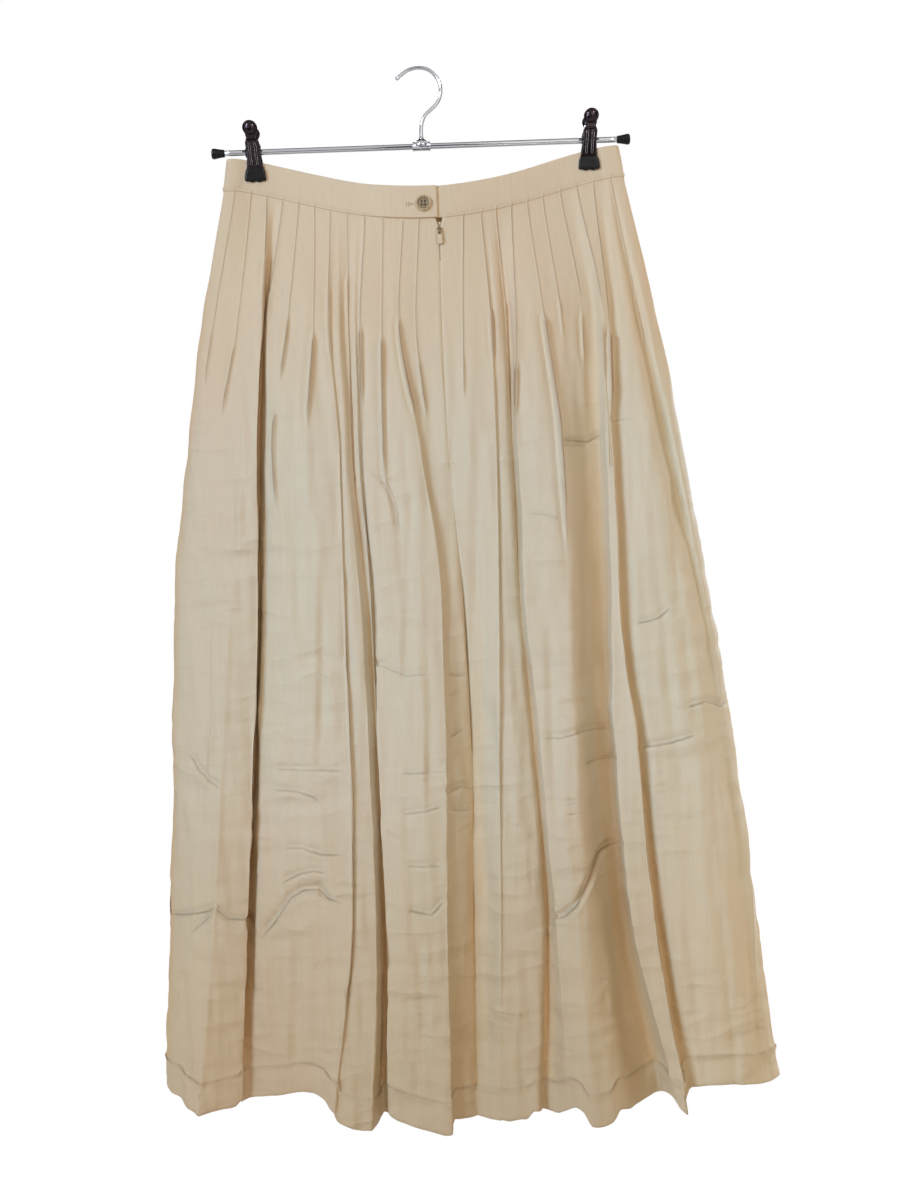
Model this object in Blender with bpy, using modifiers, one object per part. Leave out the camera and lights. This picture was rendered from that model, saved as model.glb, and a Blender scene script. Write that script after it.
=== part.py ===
"""Long a-line skirt hung by its waistband from a two-clip hanger.

Metres, +Z up, X along the hanger's rod, Y away from the viewer. The origin is the inside
top of the hanger's hook, where the wall hook or rail carries it. Sizes below are in
millimetres in the tables and are turned into metres by MM.

The side with the zip faces -Y (the "near" side) and the plain side faces +Y (the "far"
side). Every panel is one wall of cloth: fold lines run from the waist seam to the hem, each
with its own path, and the section between them is lofted down the skirt.
"""

import math
from collections import namedtuple

import bmesh
import bpy
from mathutils import Matrix, Vector

MM = 0.001

# ---------------------------------------------------------------- driving sizes, mm
CLOTH = 1.3  # wall of a skirt panel
BAND_WALL = 2.2  # two layers of cloth and an interlining
GAP = 0.3  # between pieces at a seam
BAND_TALL = 30.3
SEAM_SIDE_Z = -109.6  # waist seam at the side folds
SEAM_SAG = 36.0  # how far the seam hangs down at the middle
WAIST_LEFT, WAIST_RIGHT = -189.0, 192.0  # side folds at the waist seam
BAND_IN = 4.6  # how far the band's top leans in at each side
LAP_END_X = 13.2  # free end of the band's upper layer
UNDERLAP_X = -22.0  # end of the layer under it
LAP_PROUD = 2.7
CLIP_X = 160.3
ROD_Z, ROD_R, ROD_HALF = -73.4, 2.75, 187.5
HOOK_WIRE_R = 1.75
TUCK_NOTCH = 1.0
ZIP_GAP_TALL, ZIP_GAP_HALF = 9.0, 3.4
BUTTON_X, BUTTON_Z, BUTTON_R, BUTTON_THICK = 0.7, -132.2, 7.5, 2.8
PULL_LONG, PULL_WIDE, PULL_THICK = 12.6, 5.2, 0.8
PULL_PIVOT = (14.9, -19.0, -158.6)

# Height of the five sections between the waist seam and the hem.
SECTION_Z = (-249.0, -364.0, -507.0, -650.0, -793.0)

# How deep each side of the skirt stands off the middle plane, by height.
Stand = namedtuple("Stand", "z depth")
STANDS = [
    Stand(-109, 15), Stand(-250, 30), Stand(-364, 38), Stand(-507, 46),
    Stand(-650, 52), Stand(-793, 56), Stand(-990, 60),
]

# One row for each fold line of the near side, from its left side seam to its right one.
# x_* is the line's place at the waist seam, the five sections and the hem, z_hem the hem's
# height there, and p_* how far it stands proud of (+) or sinks behind (-) the stand.
Fold = namedtuple(
    "Fold",
    "name x_waist x_249 x_364 x_507 x_650 x_793 x_hem z_hem "
    "p_249 p_364 p_507 p_650 p_793 p_hem",
)
NEAR_LEFT = [Fold(*row) for row in (
    ("side_left", -189, -217, -234, -251, -257, -265, -274, -958, 0, 0, 0, 0, 0, 0),
    ("tuck_1", -178, -203, -221, -233, -241, -250, -257, -956, 2, 3, 4, 5, 6, 8),
    ("tuck_2", -163, -179, -202, -215, -226, -237, -248, -962, 2, 5, 8, 10, 12, 16),
    ("flap_crease", -156, -166, -173, -190, -203, -215, -235, -968, 4, 10, 14, 17, 20, 26),
    ("flap_edge", -148, -155, -162, -165, -174, -184, -196, -961, 6, 10, 10, 9, 8, 4),
    ("deep_gap", -140, -155, -163.5, -167, -177, -188, -199, -964, -12, -22, -27, -32, -34, -9),
    ("panel_a_left", -133, -150, -155, -162, -170, -177, -190, -963, 0, 0, 0, 0, -1, -6),
    ("tuck_5", -118, -131, -147, -141, -146, -151, -162, -962, 2, 4, 4, 5, 2, -4),
    ("tuck_6", -103, -106, -115, -113, -116, -119, -128, -960, 3, 6, 8, 9, 6, -2),
    ("panel_a_edge", -88, -92, -85, -85, -84, -87, -110, -968, 3, 4, 5, 8, 10, 12),
    ("under_a", -83, -89, -86, -87, -86, -89, -107, -976, 1, 2, 3, 5, 7, 10),
    ("strip_b", -80, -82, -80, -77, -76, -78, -92, -984, 1, 2, 3, 5, 7, 12),
    ("valley_b", -72, -73, -73, -65, -61, -60, -69, -988, -5, -9, -12, -13, -15, -14),
    ("thin_ridge", -63, -68, -69, -62, -60, -59, -65, -982, 1, -2, -5, -9, -11, -8),
    ("panel_c_left", -55, -62, -63, -57, -58, -57, -61, -974, 3, 5, 6, 7, 9, 7),
    ("tuck_10", -38, -42, -44, -35, -36, -36, -45, -977, 2, 6, 9, 11, 13, 11),
    ("panel_c", -28, -33, -25, -15, -16, -18, -25, -983, 3, 7, 11, 13, 14, 15),
    ("panel_c_edge", -19, -26, -10, 5, 4, 0, -3, -987, 2, 6, 8, 10, 12, 16),
    ("under_c", -12, -19, -11, 2, 1, -3, -5, -985, 1, 1, 1, 1, 2, 6),
    ("tuck_12", -4, -10, 0, 10, 10, 8, 4, -983, 0, -1, -4, -5, -4, -2),
    ("centre_seam", 15, 14, 16, 24, 25, 23, 21, -978, 0, -1, -6, -12, -13, -10),
)]
NEAR_RIGHT = [NEAR_LEFT[-1]] + [Fold(*row) for row in (
    ("tuck_13", 38, 34, 32, 40, 38, 35, 30, -980, 1, 1, -1, -2, -3, -2),
    ("edge_d", 55, 60, 61, 58, 53, 49, 41, -981, 2, 3, 3, 3, 2, 0),
    ("under_d", 59, 62, 60, 57, 53, 50, 45, -979, 0, 0, 0, 1, 1, 0),
    ("strip_e", 62, 66, 67, 66, 66, 63, 60, -975, 1, 0, 0, 1, 2, 1),
    ("valley_e", 69, 75, 76, 78, 86, 91, 82, -978, -8, -13, -14, -14, -16, -13),
    ("panel_f_left", 84, 84, 79, 81, 91, 97, 106, -984, 4, 7, 9, 10, 10, 8),
    ("tuck_17", 99, 110, 120, 122, 122, 121, 128, -987, 5, 12, 14, 16, 18, 24),
    ("tuck_18", 114, 126, 131, 131, 131, 138, 152, -984, 2, 4, 4, 3, 4, 18),
    ("broad_valley", 131, 146, 145, 147, 148, 154, 172, -979, -2, -7, -15, -21, -23, -6),
    ("broad_floor", 139, 157, 158, 157, 158, 165, 192, -974, -4, -9, -16, -21, -24, -20),
    ("ribbon_left", 147, 165, 164, 161, 160, 167, 205, -972, 6, 8, 6, 6, 8, 6),
    ("ribbon_right", 163, 170, 169, 169, 180, 189, 213, -980, 4, 8, 10, 12, 13, 14),
    ("under_ribbon", 169, 176, 171, 171, 181, 191, 214, -973, -1, -4, -5, -4, -3, -3),
    ("panel_g_left", 173, 183, 183, 186, 194, 202, 228, -969, 2, 3, 5, 6, 6, 4),
    ("panel_g_right", 176, 192, 207, 229, 246, 258, 271, -970, 4, 8, 11, 13, 12, 6),
    ("valley_g", 179, 202, 222, 246, 264, 277, 292, -975, -4, -5, 0, 3, 3, 1),
    ("edge_h", 184, 209, 229, 252, 270, 284, 301, -974, 3, 4, 5, 6, 6, 4),
    ("side_right", 192, 220, 239, 260, 278, 291, 309, -974, 0, 0, 0, 0, 0, 0),
)]
SIDE_LEFT, SIDE_RIGHT = NEAR_LEFT[0], NEAR_RIGHT[-1]

# Fold lines that start at a stitched tuck, and the drop down to which it is sewn.
Tuck = namedtuple("Tuck", "fold sewn_to_z")
TUCKS = [
    Tuck("tuck_1", -250), Tuck("tuck_2", -265), Tuck("flap_edge", -190),
    Tuck("panel_a_left", -190), Tuck("tuck_5", -330), Tuck("tuck_6", -300),
    Tuck("panel_a_edge", -260), Tuck("valley_b", -230), Tuck("panel_c_left", -260),
    Tuck("tuck_10", -320), Tuck("panel_c_edge", -240), Tuck("tuck_12", -250),
    Tuck("tuck_13", -300), Tuck("edge_d", -260), Tuck("valley_e", -230),
    Tuck("panel_f_left", -250), Tuck("tuck_17", -250), Tuck("tuck_18", -240),
    Tuck("broad_valley", -240), Tuck("ribbon_left", -240), Tuck("ribbon_right", -220),
    Tuck("valley_g", -230),
]

# The far side: one row for each of its folds. share is the fold's place across the skirt.
FarFold = namedtuple("FarFold", "share width rise lean")
FAR_FOLDS = [
    FarFold(0.085, 0.050, 9, -0.010), FarFold(0.175, 0.040, 12, -0.012),
    FarFold(0.262, 0.046, 10, 0.006), FarFold(0.350, 0.036, 14, -0.008),
    FarFold(0.437, 0.048, 11, 0.010), FarFold(0.530, 0.040, 15, -0.006),
    FarFold(0.615, 0.044, 10, 0.012), FarFold(0.705, 0.036, 13, 0.004),
    FarFold(0.792, 0.048, 11, -0.008), FarFold(0.880, 0.040, 12, 0.010),
]

# Share of the way from the waist seam to the hem of each lofted row.
ROWS = (0, 0.04, 0.085, 0.13, 0.175, 0.235, 0.30, 0.38, 0.46, 0.54, 0.62, 0.71, 0.80, 0.90, 1.0)


# ---------------------------------------------------------------- small mathematics
def smooth(t):
    t = min(1.0, max(0.0, t))
    return t * t * (3 - 2 * t)


def mix(a, b, t):
    return a + (b - a) * t


def through(knots, at):
    """A smooth line through (place, value) knots that never overshoots them."""
    if at <= knots[0][0]:
        return knots[0][1]
    if at >= knots[-1][0]:
        return knots[-1][1]
    steps = [b[0] - a[0] for a, b in zip(knots, knots[1:])]
    rises = [(b[1] - a[1]) / s for a, b, s in zip(knots, knots[1:], steps)]
    slopes = [rises[0]]
    for before, after in zip(rises, rises[1:]):
        slopes.append(0.0 if before * after <= 0 else 2 * before * after / (before + after))
    slopes.append(rises[-1])
    i = max(j for j in range(len(steps)) if at >= knots[j][0])
    t, h = (at - knots[i][0]) / steps[i], steps[i]
    return (
        (2 * t**3 - 3 * t**2 + 1) * knots[i][1] + (t**3 - 2 * t**2 + t) * h * slopes[i]
        + (3 * t**2 - 2 * t**3) * knots[i + 1][1] + (t**3 - t**2) * h * slopes[i + 1]
    )


# ---------------------------------------------------------------- the skirt's surface
def seam_z(x):
    """Height of the waist seam: the band hangs down between the clips."""
    u = min(1.0, abs(x - 1.5) / 190.5)
    return SEAM_SIDE_Z - SEAM_SAG * (1 - u * u) ** 1.8


def waist_stand(x):
    """How far the band's middle surface stands off the middle plane: pinched at the clips."""
    a = abs(x)
    if a < 149:
        return 1.6 + 13.4 * math.cos(math.pi * a / 298) ** 2
    return 1.6 + 1.6 * smooth((a - 171.5) / 8)


def fold_x(fold, z):
    knots = [(-fold.z_hem, fold.x_hem)] + [
        (-at, x) for at, x in zip(SECTION_Z[::-1], (fold.x_793, fold.x_650, fold.x_507, fold.x_364, fold.x_249))
    ] + [(-seam_z(fold.x_waist), fold.x_waist)]
    return through(knots[::-1], -z)


def fold_proud(fold, z):
    knots = [(-seam_z(fold.x_waist), 0.0)] + [
        (-at, p) for at, p in zip(SECTION_Z, (fold.p_249, fold.p_364, fold.p_507, fold.p_650, fold.p_793))
    ] + [(-fold.z_hem, fold.p_hem)]
    return through(knots, -z)


def stand(x, z):
    """How far either side stands off the middle plane at this place, before its folds."""
    left, right = fold_x(SIDE_LEFT, z), fold_x(SIDE_RIGHT, z)
    s = min(1.0, abs(x - (left + right) / 2) / ((right - left) / 2))
    body = through([(-r.z, r.depth) for r in STANDS], -z) * (1 - s**2.6) ** 0.5
    return mix(waist_stand(x) + 0.8, body, smooth((seam_z(x) - z) / 115))


def tuck_notch(fold, z):
    for tuck in TUCKS:
        if tuck.fold == fold.name:
            return TUCK_NOTCH * (1 - smooth((tuck.sewn_to_z + 25 - z) / 50))
    return 0.0


def near_point(fold, z):
    x = fold_x(fold, z)
    deep = stand(x, z) + fold_proud(fold, z) - tuck_notch(fold, z)
    if fold in (SIDE_LEFT, SIDE_RIGHT):
        return Vector((x, -(CLOTH / 2 + GAP / 2 + 0.05), z))
    return Vector((x, -max(deep, 2.3), z))


def column(fold):
    """A fold line as a function of the share t of the way from the waist seam to the hem."""
    def at(t):
        z = mix(seam_z(fold.x_waist) - GAP, fold.z_hem, t)
        return near_point(fold, z)
    return at


def between(a, b, share, bulge):
    """A line between two fold lines, standing bulge proud of the straight section."""
    def at(t):
        p = a(t).lerp(b(t), share)
        lift = bulge * smooth(t / 0.3)
        return Vector((p.x, p.y - lift if p.y < 0 else p.y + lift, p.z))
    return at


def near_columns(folds):
    """Fold lines with one more line in each wide strip between them."""
    out = [column(folds[0])]
    for a, b in zip(folds, folds[1:]):
        wide = max(abs(b.x_waist - a.x_waist), abs(b.x_507 - a.x_507), abs(b.x_hem - a.x_hem))
        if wide > 9:
            rising = a.p_507 + b.p_507 > 0
            out.append(between(column(a), column(b), 0.5, 1.2 if rising else -0.8))
        out.append(column(b))
    return out


def open_at_zip(columns, side):
    """The panel's centre edge draws back from the other one above the zip's slider."""
    edge = columns[-1] if side < 0 else columns[0]

    def at(t):
        p = edge(t)
        drop = seam_z(p.x) - p.z
        back = ZIP_GAP_HALF * max(0.0, 1 - drop / ZIP_GAP_TALL)
        return Vector((p.x + side * (1.3 * GAP + back), p.y, p.z))
    return columns[:-1] + [at] if side < 0 else [at] + columns[1:]


def far_columns():
    """The far side: ridges and valleys in turn, with its own stitched tucks at the top."""
    lines = [(0.0, 0.0, 0.0)]
    for k, f in enumerate(FAR_FOLDS):
        after = FAR_FOLDS[k + 1] if k + 1 < len(FAR_FOLDS) else None
        lines.append((f.share - f.width * 0.45, f.rise * 0.8, f.lean))
        lines.append((f.share + f.width * 0.45, f.rise, f.lean))
        if after:
            middle = (f.share + f.width / 2 + after.share - after.width / 2) / 2
            lines.append((middle - 0.008, -after.rise * 1.25, f.lean))
            lines.append((middle + 0.006, -f.rise * 1.1, after.lean))
    lines.append((1.0, 0.0, 0.0))

    def line(k, share, rise, lean):
        def at(t):
            across = share + lean * smooth(t * 1.1)
            x_top = mix(WAIST_LEFT, WAIST_RIGHT, share)
            z_hem = -964.0 - 16 * math.sin(math.pi * share) - 0.35 * rise
            z = mix(seam_z(x_top) - GAP, z_hem, t)
            x = mix(fold_x(SIDE_LEFT, z), fold_x(SIDE_RIGHT, z), across)
            if share in (0.0, 1.0):
                return Vector((x, CLOTH / 2 + GAP / 2 + 0.05, z))
            notch = TUCK_NOTCH * (k % 2) * (1 - smooth((t - 0.14) / 0.06))
            deep = stand(x, z) + rise * smooth((t - 0.05) / 0.45) - notch
            return Vector((x, max(deep, 2.3), z))
        return at

    return [line(k, *row) for k, row in enumerate(lines)]


# ---------------------------------------------------------------- objects
def clear_scene():
    for obj in list(bpy.data.objects):
        bpy.data.objects.remove(obj, do_unlink=True)


def collection(name):
    made = bpy.data.collections.new(name)
    bpy.context.scene.collection.children.link(made)
    return made


def material(name, colour, roughness, metallic=0.0):
    made = bpy.data.materials.new(name)
    made.use_nodes = True
    shader = made.node_tree.nodes["Principled BSDF"]
    shader.inputs["Base Color"].default_value = (*colour, 1.0)
    shader.inputs["Roughness"].default_value = roughness
    shader.inputs["Metallic"].default_value = metallic
    return made


def keep(obj, home, finish):
    """Puts an object in its collection with its material."""
    for holder in list(obj.users_collection):
        holder.objects.unlink(obj)
    home.objects.link(obj)
    obj.data.materials.clear()
    obj.data.materials.append(finish)
    return obj


def object_of(name, bm):
    mesh = bpy.data.meshes.new(name)
    bm.to_mesh(mesh)
    bm.free()
    obj = bpy.data.objects.new(name, mesh)
    bpy.context.scene.collection.objects.link(obj)
    return obj


def loft(name, grid, wall, flip=False):
    """An open sheet through a grid of points in mm, row by row, made a wall by Solidify."""
    bm = bmesh.new()
    rows = [[bm.verts.new(p * MM) for p in row] for row in grid]
    for upper, lower in zip(rows, rows[1:]):
        for k in range(len(upper) - 1):
            corners = (upper[k], lower[k], lower[k + 1], upper[k + 1])
            bm.faces.new(corners[::-1] if flip else corners)
    bm.normal_update()
    obj = object_of(name, bm)
    thick = obj.modifiers.new("wall", "SOLIDIFY")
    thick.thickness = wall * MM
    thick.offset = 0.0
    thick.use_even_offset = False
    thick.use_rim = True
    return obj


def cylinder(radius, depth, centre, axis="Z", segments=24, radius_top=None):
    """A cylinder or cone in a bmesh, mm."""
    bm = bmesh.new()
    bmesh.ops.create_cone(
        bm, cap_ends=True, segments=segments, radius1=radius * MM,
        radius2=(radius if radius_top is None else radius_top) * MM, depth=depth * MM,
    )
    turn = {"X": Matrix.Rotation(math.radians(90), 4, "Y"), "Y": Matrix.Rotation(math.radians(-90), 4, "X"), "Z": Matrix.Identity(4)}[axis]
    bm.transform(Matrix.Translation(Vector(centre) * MM) @ turn)
    return bm


def box(size, centre):
    bm = bmesh.new()
    bmesh.ops.create_cube(bm, size=1.0)
    bm.transform(Matrix.Translation(Vector(centre) * MM) @ Matrix.Diagonal((*[s * MM for s in size], 1.0)))
    return bm


def ball(radius, centre, squash=(1, 1, 1)):
    bm = bmesh.new()
    bmesh.ops.create_uvsphere(bm, u_segments=16, v_segments=10, radius=radius * MM)
    bm.transform(Matrix.Translation(Vector(centre) * MM) @ Matrix.Diagonal((*squash, 1.0)))
    return bm


def boolean(obj, other, operation):
    """Joins or cuts with another bmesh, and applies it."""
    tool = object_of(obj.name + "_tool", other)
    tool.hide_render = True
    tool.display_type = "WIRE"
    step = obj.modifiers.new(operation.lower(), "BOOLEAN")
    step.operation, step.object, step.solver = operation, tool, "EXACT"
    bpy.context.view_layer.update()
    mesh = bpy.data.meshes.new_from_object(obj.evaluated_get(bpy.context.evaluated_depsgraph_get()))
    obj.modifiers.clear()
    obj.data = mesh
    bpy.data.objects.remove(tool, do_unlink=True)
    return obj


def rounded(obj, width, segments=2):
    bevel = obj.modifiers.new("rounding", "BEVEL")
    bevel.width, bevel.segments = width * MM, segments
    bevel.limit_method = "ANGLE"
    bevel.angle_limit = math.radians(40)
    return obj


def outline_plate(name, outline, thick, windows=()):
    """A flat plate in the XZ plane from a closed 2D curve, filled and extruded, as a mesh."""
    curve = bpy.data.curves.new(name, "CURVE")
    curve.dimensions, curve.fill_mode, curve.extrude = "2D", "BOTH", thick / 2 * MM
    for points in (outline, *windows):
        spline = curve.splines.new("POLY")
        spline.points.add(len(points) - 1)
        for slot, (x, z) in zip(spline.points, points):
            slot.co = (x * MM, z * MM, 0.0, 1.0)
        spline.use_cyclic_u = True
    flat = bpy.data.objects.new(name, curve)
    bpy.context.scene.collection.objects.link(flat)
    flat.rotation_euler = (math.radians(90), 0, 0)
    bpy.context.view_layer.update()
    mesh = bpy.data.meshes.new_from_object(flat.evaluated_get(bpy.context.evaluated_depsgraph_get()))
    bm = bmesh.new()
    bm.from_mesh(mesh)
    bmesh.ops.remove_doubles(bm, verts=bm.verts, dist=0.00001)
    bmesh.ops.recalc_face_normals(bm, faces=bm.faces)
    bm.transform(flat.matrix_world)
    bpy.data.objects.remove(flat, do_unlink=True)
    return object_of(name, bm)


def smooth_shaded(obj, angle=40):
    obj.data.shade_smooth()
    obj.data.set_sharp_from_angle(angle=math.radians(angle))
    return obj


def wire(name, points, radius):
    """A round wire through a smooth line, with filled caps."""
    curve = bpy.data.curves.new(name, "CURVE")
    curve.dimensions, curve.bevel_depth, curve.bevel_resolution = "3D", radius * MM, 2
    curve.use_fill_caps = True
    spline = curve.splines.new("POLY")
    spline.points.add(len(points) - 1)
    for slot, p in zip(spline.points, points):
        slot.co = (*(c * MM for c in p), 1.0)
    obj = bpy.data.objects.new(name, curve)
    bpy.context.scene.collection.objects.link(obj)
    return obj


# ---------------------------------------------------------------- the garment
def build_panels(home, cloth):
    left = open_at_zip(near_columns(NEAR_LEFT), -1)
    right = open_at_zip(near_columns(NEAR_RIGHT), 1)
    for name, columns, flip in (
        ("panel_zip_left", left, False), ("panel_zip_right", right, False), ("panel_plain", far_columns(), True),
    ):
        keep(smooth_shaded(loft(name, [[c(t) for c in columns] for t in ROWS], CLOTH, flip), 50), home, cloth)


def band_path():
    """(x, y) along the waistband's middle line, from its free end round to the underlap."""
    half = (0, 12, 36, 58, 78, 96, 112, 126, 138, 149, 171.5, 177)
    whole = [-x for x in half[:0:-1]] + list(half)
    lap = [0, -12, UNDERLAP_X - 4] + [x for x in whole[::-1] if x < UNDERLAP_X - 6]
    under = [x for x in whole[::-1] if x > UNDERLAP_X + 4]
    path = [(x, -(waist_stand(x) + LAP_PROUD * smooth((x + 64) / 36))) for x in [LAP_END_X] + lap]
    left_turn = [(-183, -3.0), (-187.5, -2.1), (-189, 0.0), (-187.5, 2.1), (-183, 3.0)]
    path += left_turn
    path += [(x, waist_stand(x)) for x in whole]
    path += [(-x + 3, -y) for x, y in left_turn]
    path += [(x, -waist_stand(x)) for x in under + [UNDERLAP_X]]
    return path


def build_band(home, cloth):
    path = band_path()
    grid = []
    for share in (0.0, 0.5, 1.0):
        squeeze = 1 - BAND_IN / 190 * (1 - share)
        row = []
        for x, y in path:
            z = seam_z(x) + BAND_TALL * (1 - share)
            row.append(Vector((1.5 + (x - 1.5) * squeeze, y, z)))
        grid.append(row)
    band = loft("waistband", grid, BAND_WALL)
    keep(smooth_shaded(band, 50), home, cloth)


def build_zip(home, tape_finish, metal):
    centre, left, right = column(NEAR_LEFT[-1]), column(NEAR_LEFT[-2]), column(NEAR_RIGHT[1])
    grid = []
    for k in range(9):
        t = mix(0.014, 0.235, k / 8)
        inward = Vector((0, CLOTH / 2 + 1.35, 0))
        grid.append([
            centre(t).lerp(left(t), 0.55) + inward, centre(t) + inward, centre(t).lerp(right(t), 0.42) + inward,
        ])
    keep(loft("zip_tape", grid, 0.8), home, tape_finish)

    px, py, pz = PULL_PIVOT
    hinge = bpy.data.objects.new("pull_pivot", None)
    hinge.location = Vector(PULL_PIVOT) * MM
    home.objects.link(hinge)

    # The slider lies on the seam, with a bridge over the pull's bar. Local Y points inwards.
    slider = object_of("zip_slider", box((4.2, 1.3, 6.4), (0, 1.4, 0.6)))
    boolean(slider, box((1.3, 2.35, 5.0), (0, 0.025, 0.3)), "UNION")
    boolean(slider, box((3.0, 1.45, 2.4), (0, 0.025, 0)), "DIFFERENCE")
    keep(slider, home, metal).parent = hinge

    half, top = PULL_WIDE / 2, PULL_THICK / 2
    outline = [(-2.0, top), (2.0, top), (2.0, -3.4), (half, -4.6), (half, -PULL_LONG + 1), (half - 0.8, -PULL_LONG),
               (-half + 0.8, -PULL_LONG), (-half, -PULL_LONG + 1), (-half, -4.6), (-2.0, -3.4)]
    window = [(-1.15, -top), (1.15, -top), (1.15, -3.2), (-1.15, -3.2)]
    pull = outline_plate("zip_pull", outline, PULL_THICK, [window])
    keep(pull, home, metal).parent = hinge


def build_button(home, finish):
    face_y = -(waist_stand(BUTTON_X) + LAP_PROUD + BAND_WALL / 2 + GAP)
    profile = [(0.0, 0.0), (5.2, 0.0), (7.1, 0.9), (7.5, 1.8), (7.0, 2.7), (6.2, 2.8), (5.3, 1.9), (0.0, 1.7)]
    bm = bmesh.new()
    line = [bm.verts.new(Vector((r, -y, 0)) * MM) for r, y in profile]
    edges = [bm.edges.new(pair) for pair in zip(line, line[1:])]
    bmesh.ops.spin(bm, geom=line + edges, cent=(0, 0, 0), axis=(0, 1, 0), angle=2 * math.pi, steps=28, use_duplicate=False)
    bmesh.ops.remove_doubles(bm, verts=bm.verts, dist=0.00002)
    bmesh.ops.recalc_face_normals(bm, faces=bm.faces)
    button = object_of("button", bm)
    for sx in (-1, 1):
        for sz in (-1, 1):
            boolean(button, cylinder(0.85, 8, (sx * 1.5, -1, sz * 1.5), "Y", 10), "DIFFERENCE")
    keep(smooth_shaded(button), home, finish)
    button.location = Vector((BUTTON_X, face_y, BUTTON_Z)) * MM


# ---------------------------------------------------------------- the hanger
HookPoint = namedtuple("HookPoint", "x z")
HOOK = [HookPoint(*p) for p in (
    (-20.6, -7.8), (-14.8, -3.4), (-8.4, 0.3), (0.0, 1.75), (7.6, 0.4), (14.0, -3.8), (18.8, -10.4),
    (20.8, -18.6), (19.6, -27.0), (15.6, -34.0), (9.8, -39.4), (4.8, -44.0), (2.0, -50.0), (1.0, -56.0), (0.7, -64.2),
)]
CLIP_HEAD_Z, CLIP_FOOT_TOP_Z, CLIP_FOOT_Z = -50.2, -87.0, -101.6
HEAD_STAND, FOOT_STAND = 11.2, 5.4


def hook_line():
    knots = [(0.0, HOOK[0])]
    for a, b in zip(HOOK, HOOK[1:]):
        knots.append((knots[-1][0] + math.dist(a, b), b))
    total, count = knots[-1][0], 46
    xs, zs = [(s, p.x) for s, p in knots], [(s, p.z) for s, p in knots]
    return [(through(xs, total * k / count), 0.0, through(zs, total * k / count)) for k in range(count + 1)]


def jaw_outline():
    """The pressed plate of a clip jaw, seen from the front: round head, neck, body, foot."""
    right = [(3.5, 4.9), (5.9, 1.7), (6.0, -1.7), (4.9, -6.2), (5.2, -9.0), (7.0, -13.6), (7.1, -29.0), (7.7, -36.4)]
    return right + [(-x, z) for x, z in right[::-1]]


def build_jaw(home, name, x, side, metal, rubber):
    """One jaw: a slanted pressed plate with its head, and two ears that run on the rod."""
    lean = math.atan2(HEAD_STAND - FOOT_STAND, CLIP_HEAD_Z - CLIP_FOOT_TOP_Z)
    plate = outline_plate(name, jaw_outline(), 1.0)
    boolean(plate, ball(6.7, (0, -0.6 * 1, 0), (1, 0.5, 1)), "UNION")
    for sign in (-1, 1):
        boolean(plate, box((1.5, 1.4, 19), (sign * 2.8, -0.5, -24.5)), "UNION")
    plate.data.transform(Matrix.Rotation(lean, 4, "X") @ Matrix.Identity(4))
    plate.data.transform(Matrix.Translation(Vector((0, -HEAD_STAND, CLIP_HEAD_Z)) * MM))
    ear_x = 6.3 if side < 0 else 4.9
    for sign in (-1, 1):
        ear = cylinder(4.7, 1.0, (sign * ear_x, 0, ROD_Z), "X", 20)
        boolean(plate, ear, "UNION")
        boolean(plate, box((0.8, 6.0, 7.0), (sign * ear_x, -4.8, ROD_Z)), "UNION")
    boolean(plate, cylinder(ROD_R + GAP, 20, (0, 0, ROD_Z), "X", 20), "DIFFERENCE")
    if side > 0:
        plate.data.transform(Matrix.Rotation(math.pi, 4, "Z"))
    plate.data.transform(Matrix.Translation(Vector((x, 0, 0)) * MM))
    keep(smooth_shaded(plate), home, metal)

    foot_outline = [(9.0, CLIP_FOOT_TOP_Z - 0.4), (10.4, CLIP_FOOT_Z + 2.6), (9.0, CLIP_FOOT_Z + 0.3), (6.5, CLIP_FOOT_Z)]
    foot_outline = foot_outline + [(-a, b) for a, b in foot_outline[::-1]]
    grip = waist_stand(CLIP_X) + BAND_WALL / 2 + GAP
    foot = outline_plate(name.replace("jaw", "pad"), foot_outline, 3.0)
    foot.data.transform(Matrix.Translation(Vector((x, side * (grip + 1.5), 0)) * MM))
    keep(rounded(foot, 0.5, 2), home, rubber)


def build_hanger(home, chrome, dark, rubber):
    keep(wire("hanger_hook", hook_line(), HOOK_WIRE_R), home, chrome)
    rod = object_of("hanger_rod", cylinder(ROD_R, 2 * ROD_HALF, (0, 0, ROD_Z), "X", 20))
    keep(smooth_shaded(rod), home, chrome)
    boss = object_of("hanger_boss", cylinder(4.4, 17.0, (0.7, 0, ROD_Z), "X", 24))
    boolean(boss, ball(7.4, (0.7, 0, ROD_Z + 1.2), (1, 0.78, 1)), "UNION")
    boolean(boss, box((30, 30, 10), (0, 0, ROD_Z - 4.2 - 5)), "DIFFERENCE")
    boolean(boss, cylinder(ROD_R + GAP, 30, (0, 0, ROD_Z), "X", 20), "DIFFERENCE")
    keep(smooth_shaded(boss), home, chrome)
    for side, word in ((-1, "left"), (1, "right")):
        cap = cylinder(3.5, 12.5, (0, 0, 0), "X", 20, 5.0)
        cap.transform(Matrix.Rotation(0 if side > 0 else math.pi, 4, "Z"))
        cap.transform(Matrix.Translation(Vector((side * (ROD_HALF + GAP + 6.25), 0, ROD_Z)) * MM))
        keep(rounded(smooth_shaded(object_of("end_cap_" + word, cap)), 1.0, 2), home, rubber)
        x = side * CLIP_X
        build_jaw(home, "front_jaw_" + word, x, -1, dark, rubber)
        build_jaw(home, "back_jaw_" + word, x, 1, dark, rubber)
        spring = object_of("clip_spring_" + word, cylinder(4.1, 7.4, (x, 0, ROD_Z), "X", 20))
        boolean(spring, cylinder(ROD_R + GAP, 20, (x, 0, ROD_Z), "X", 20), "DIFFERENCE")
        keep(smooth_shaded(spring), home, chrome)


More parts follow.
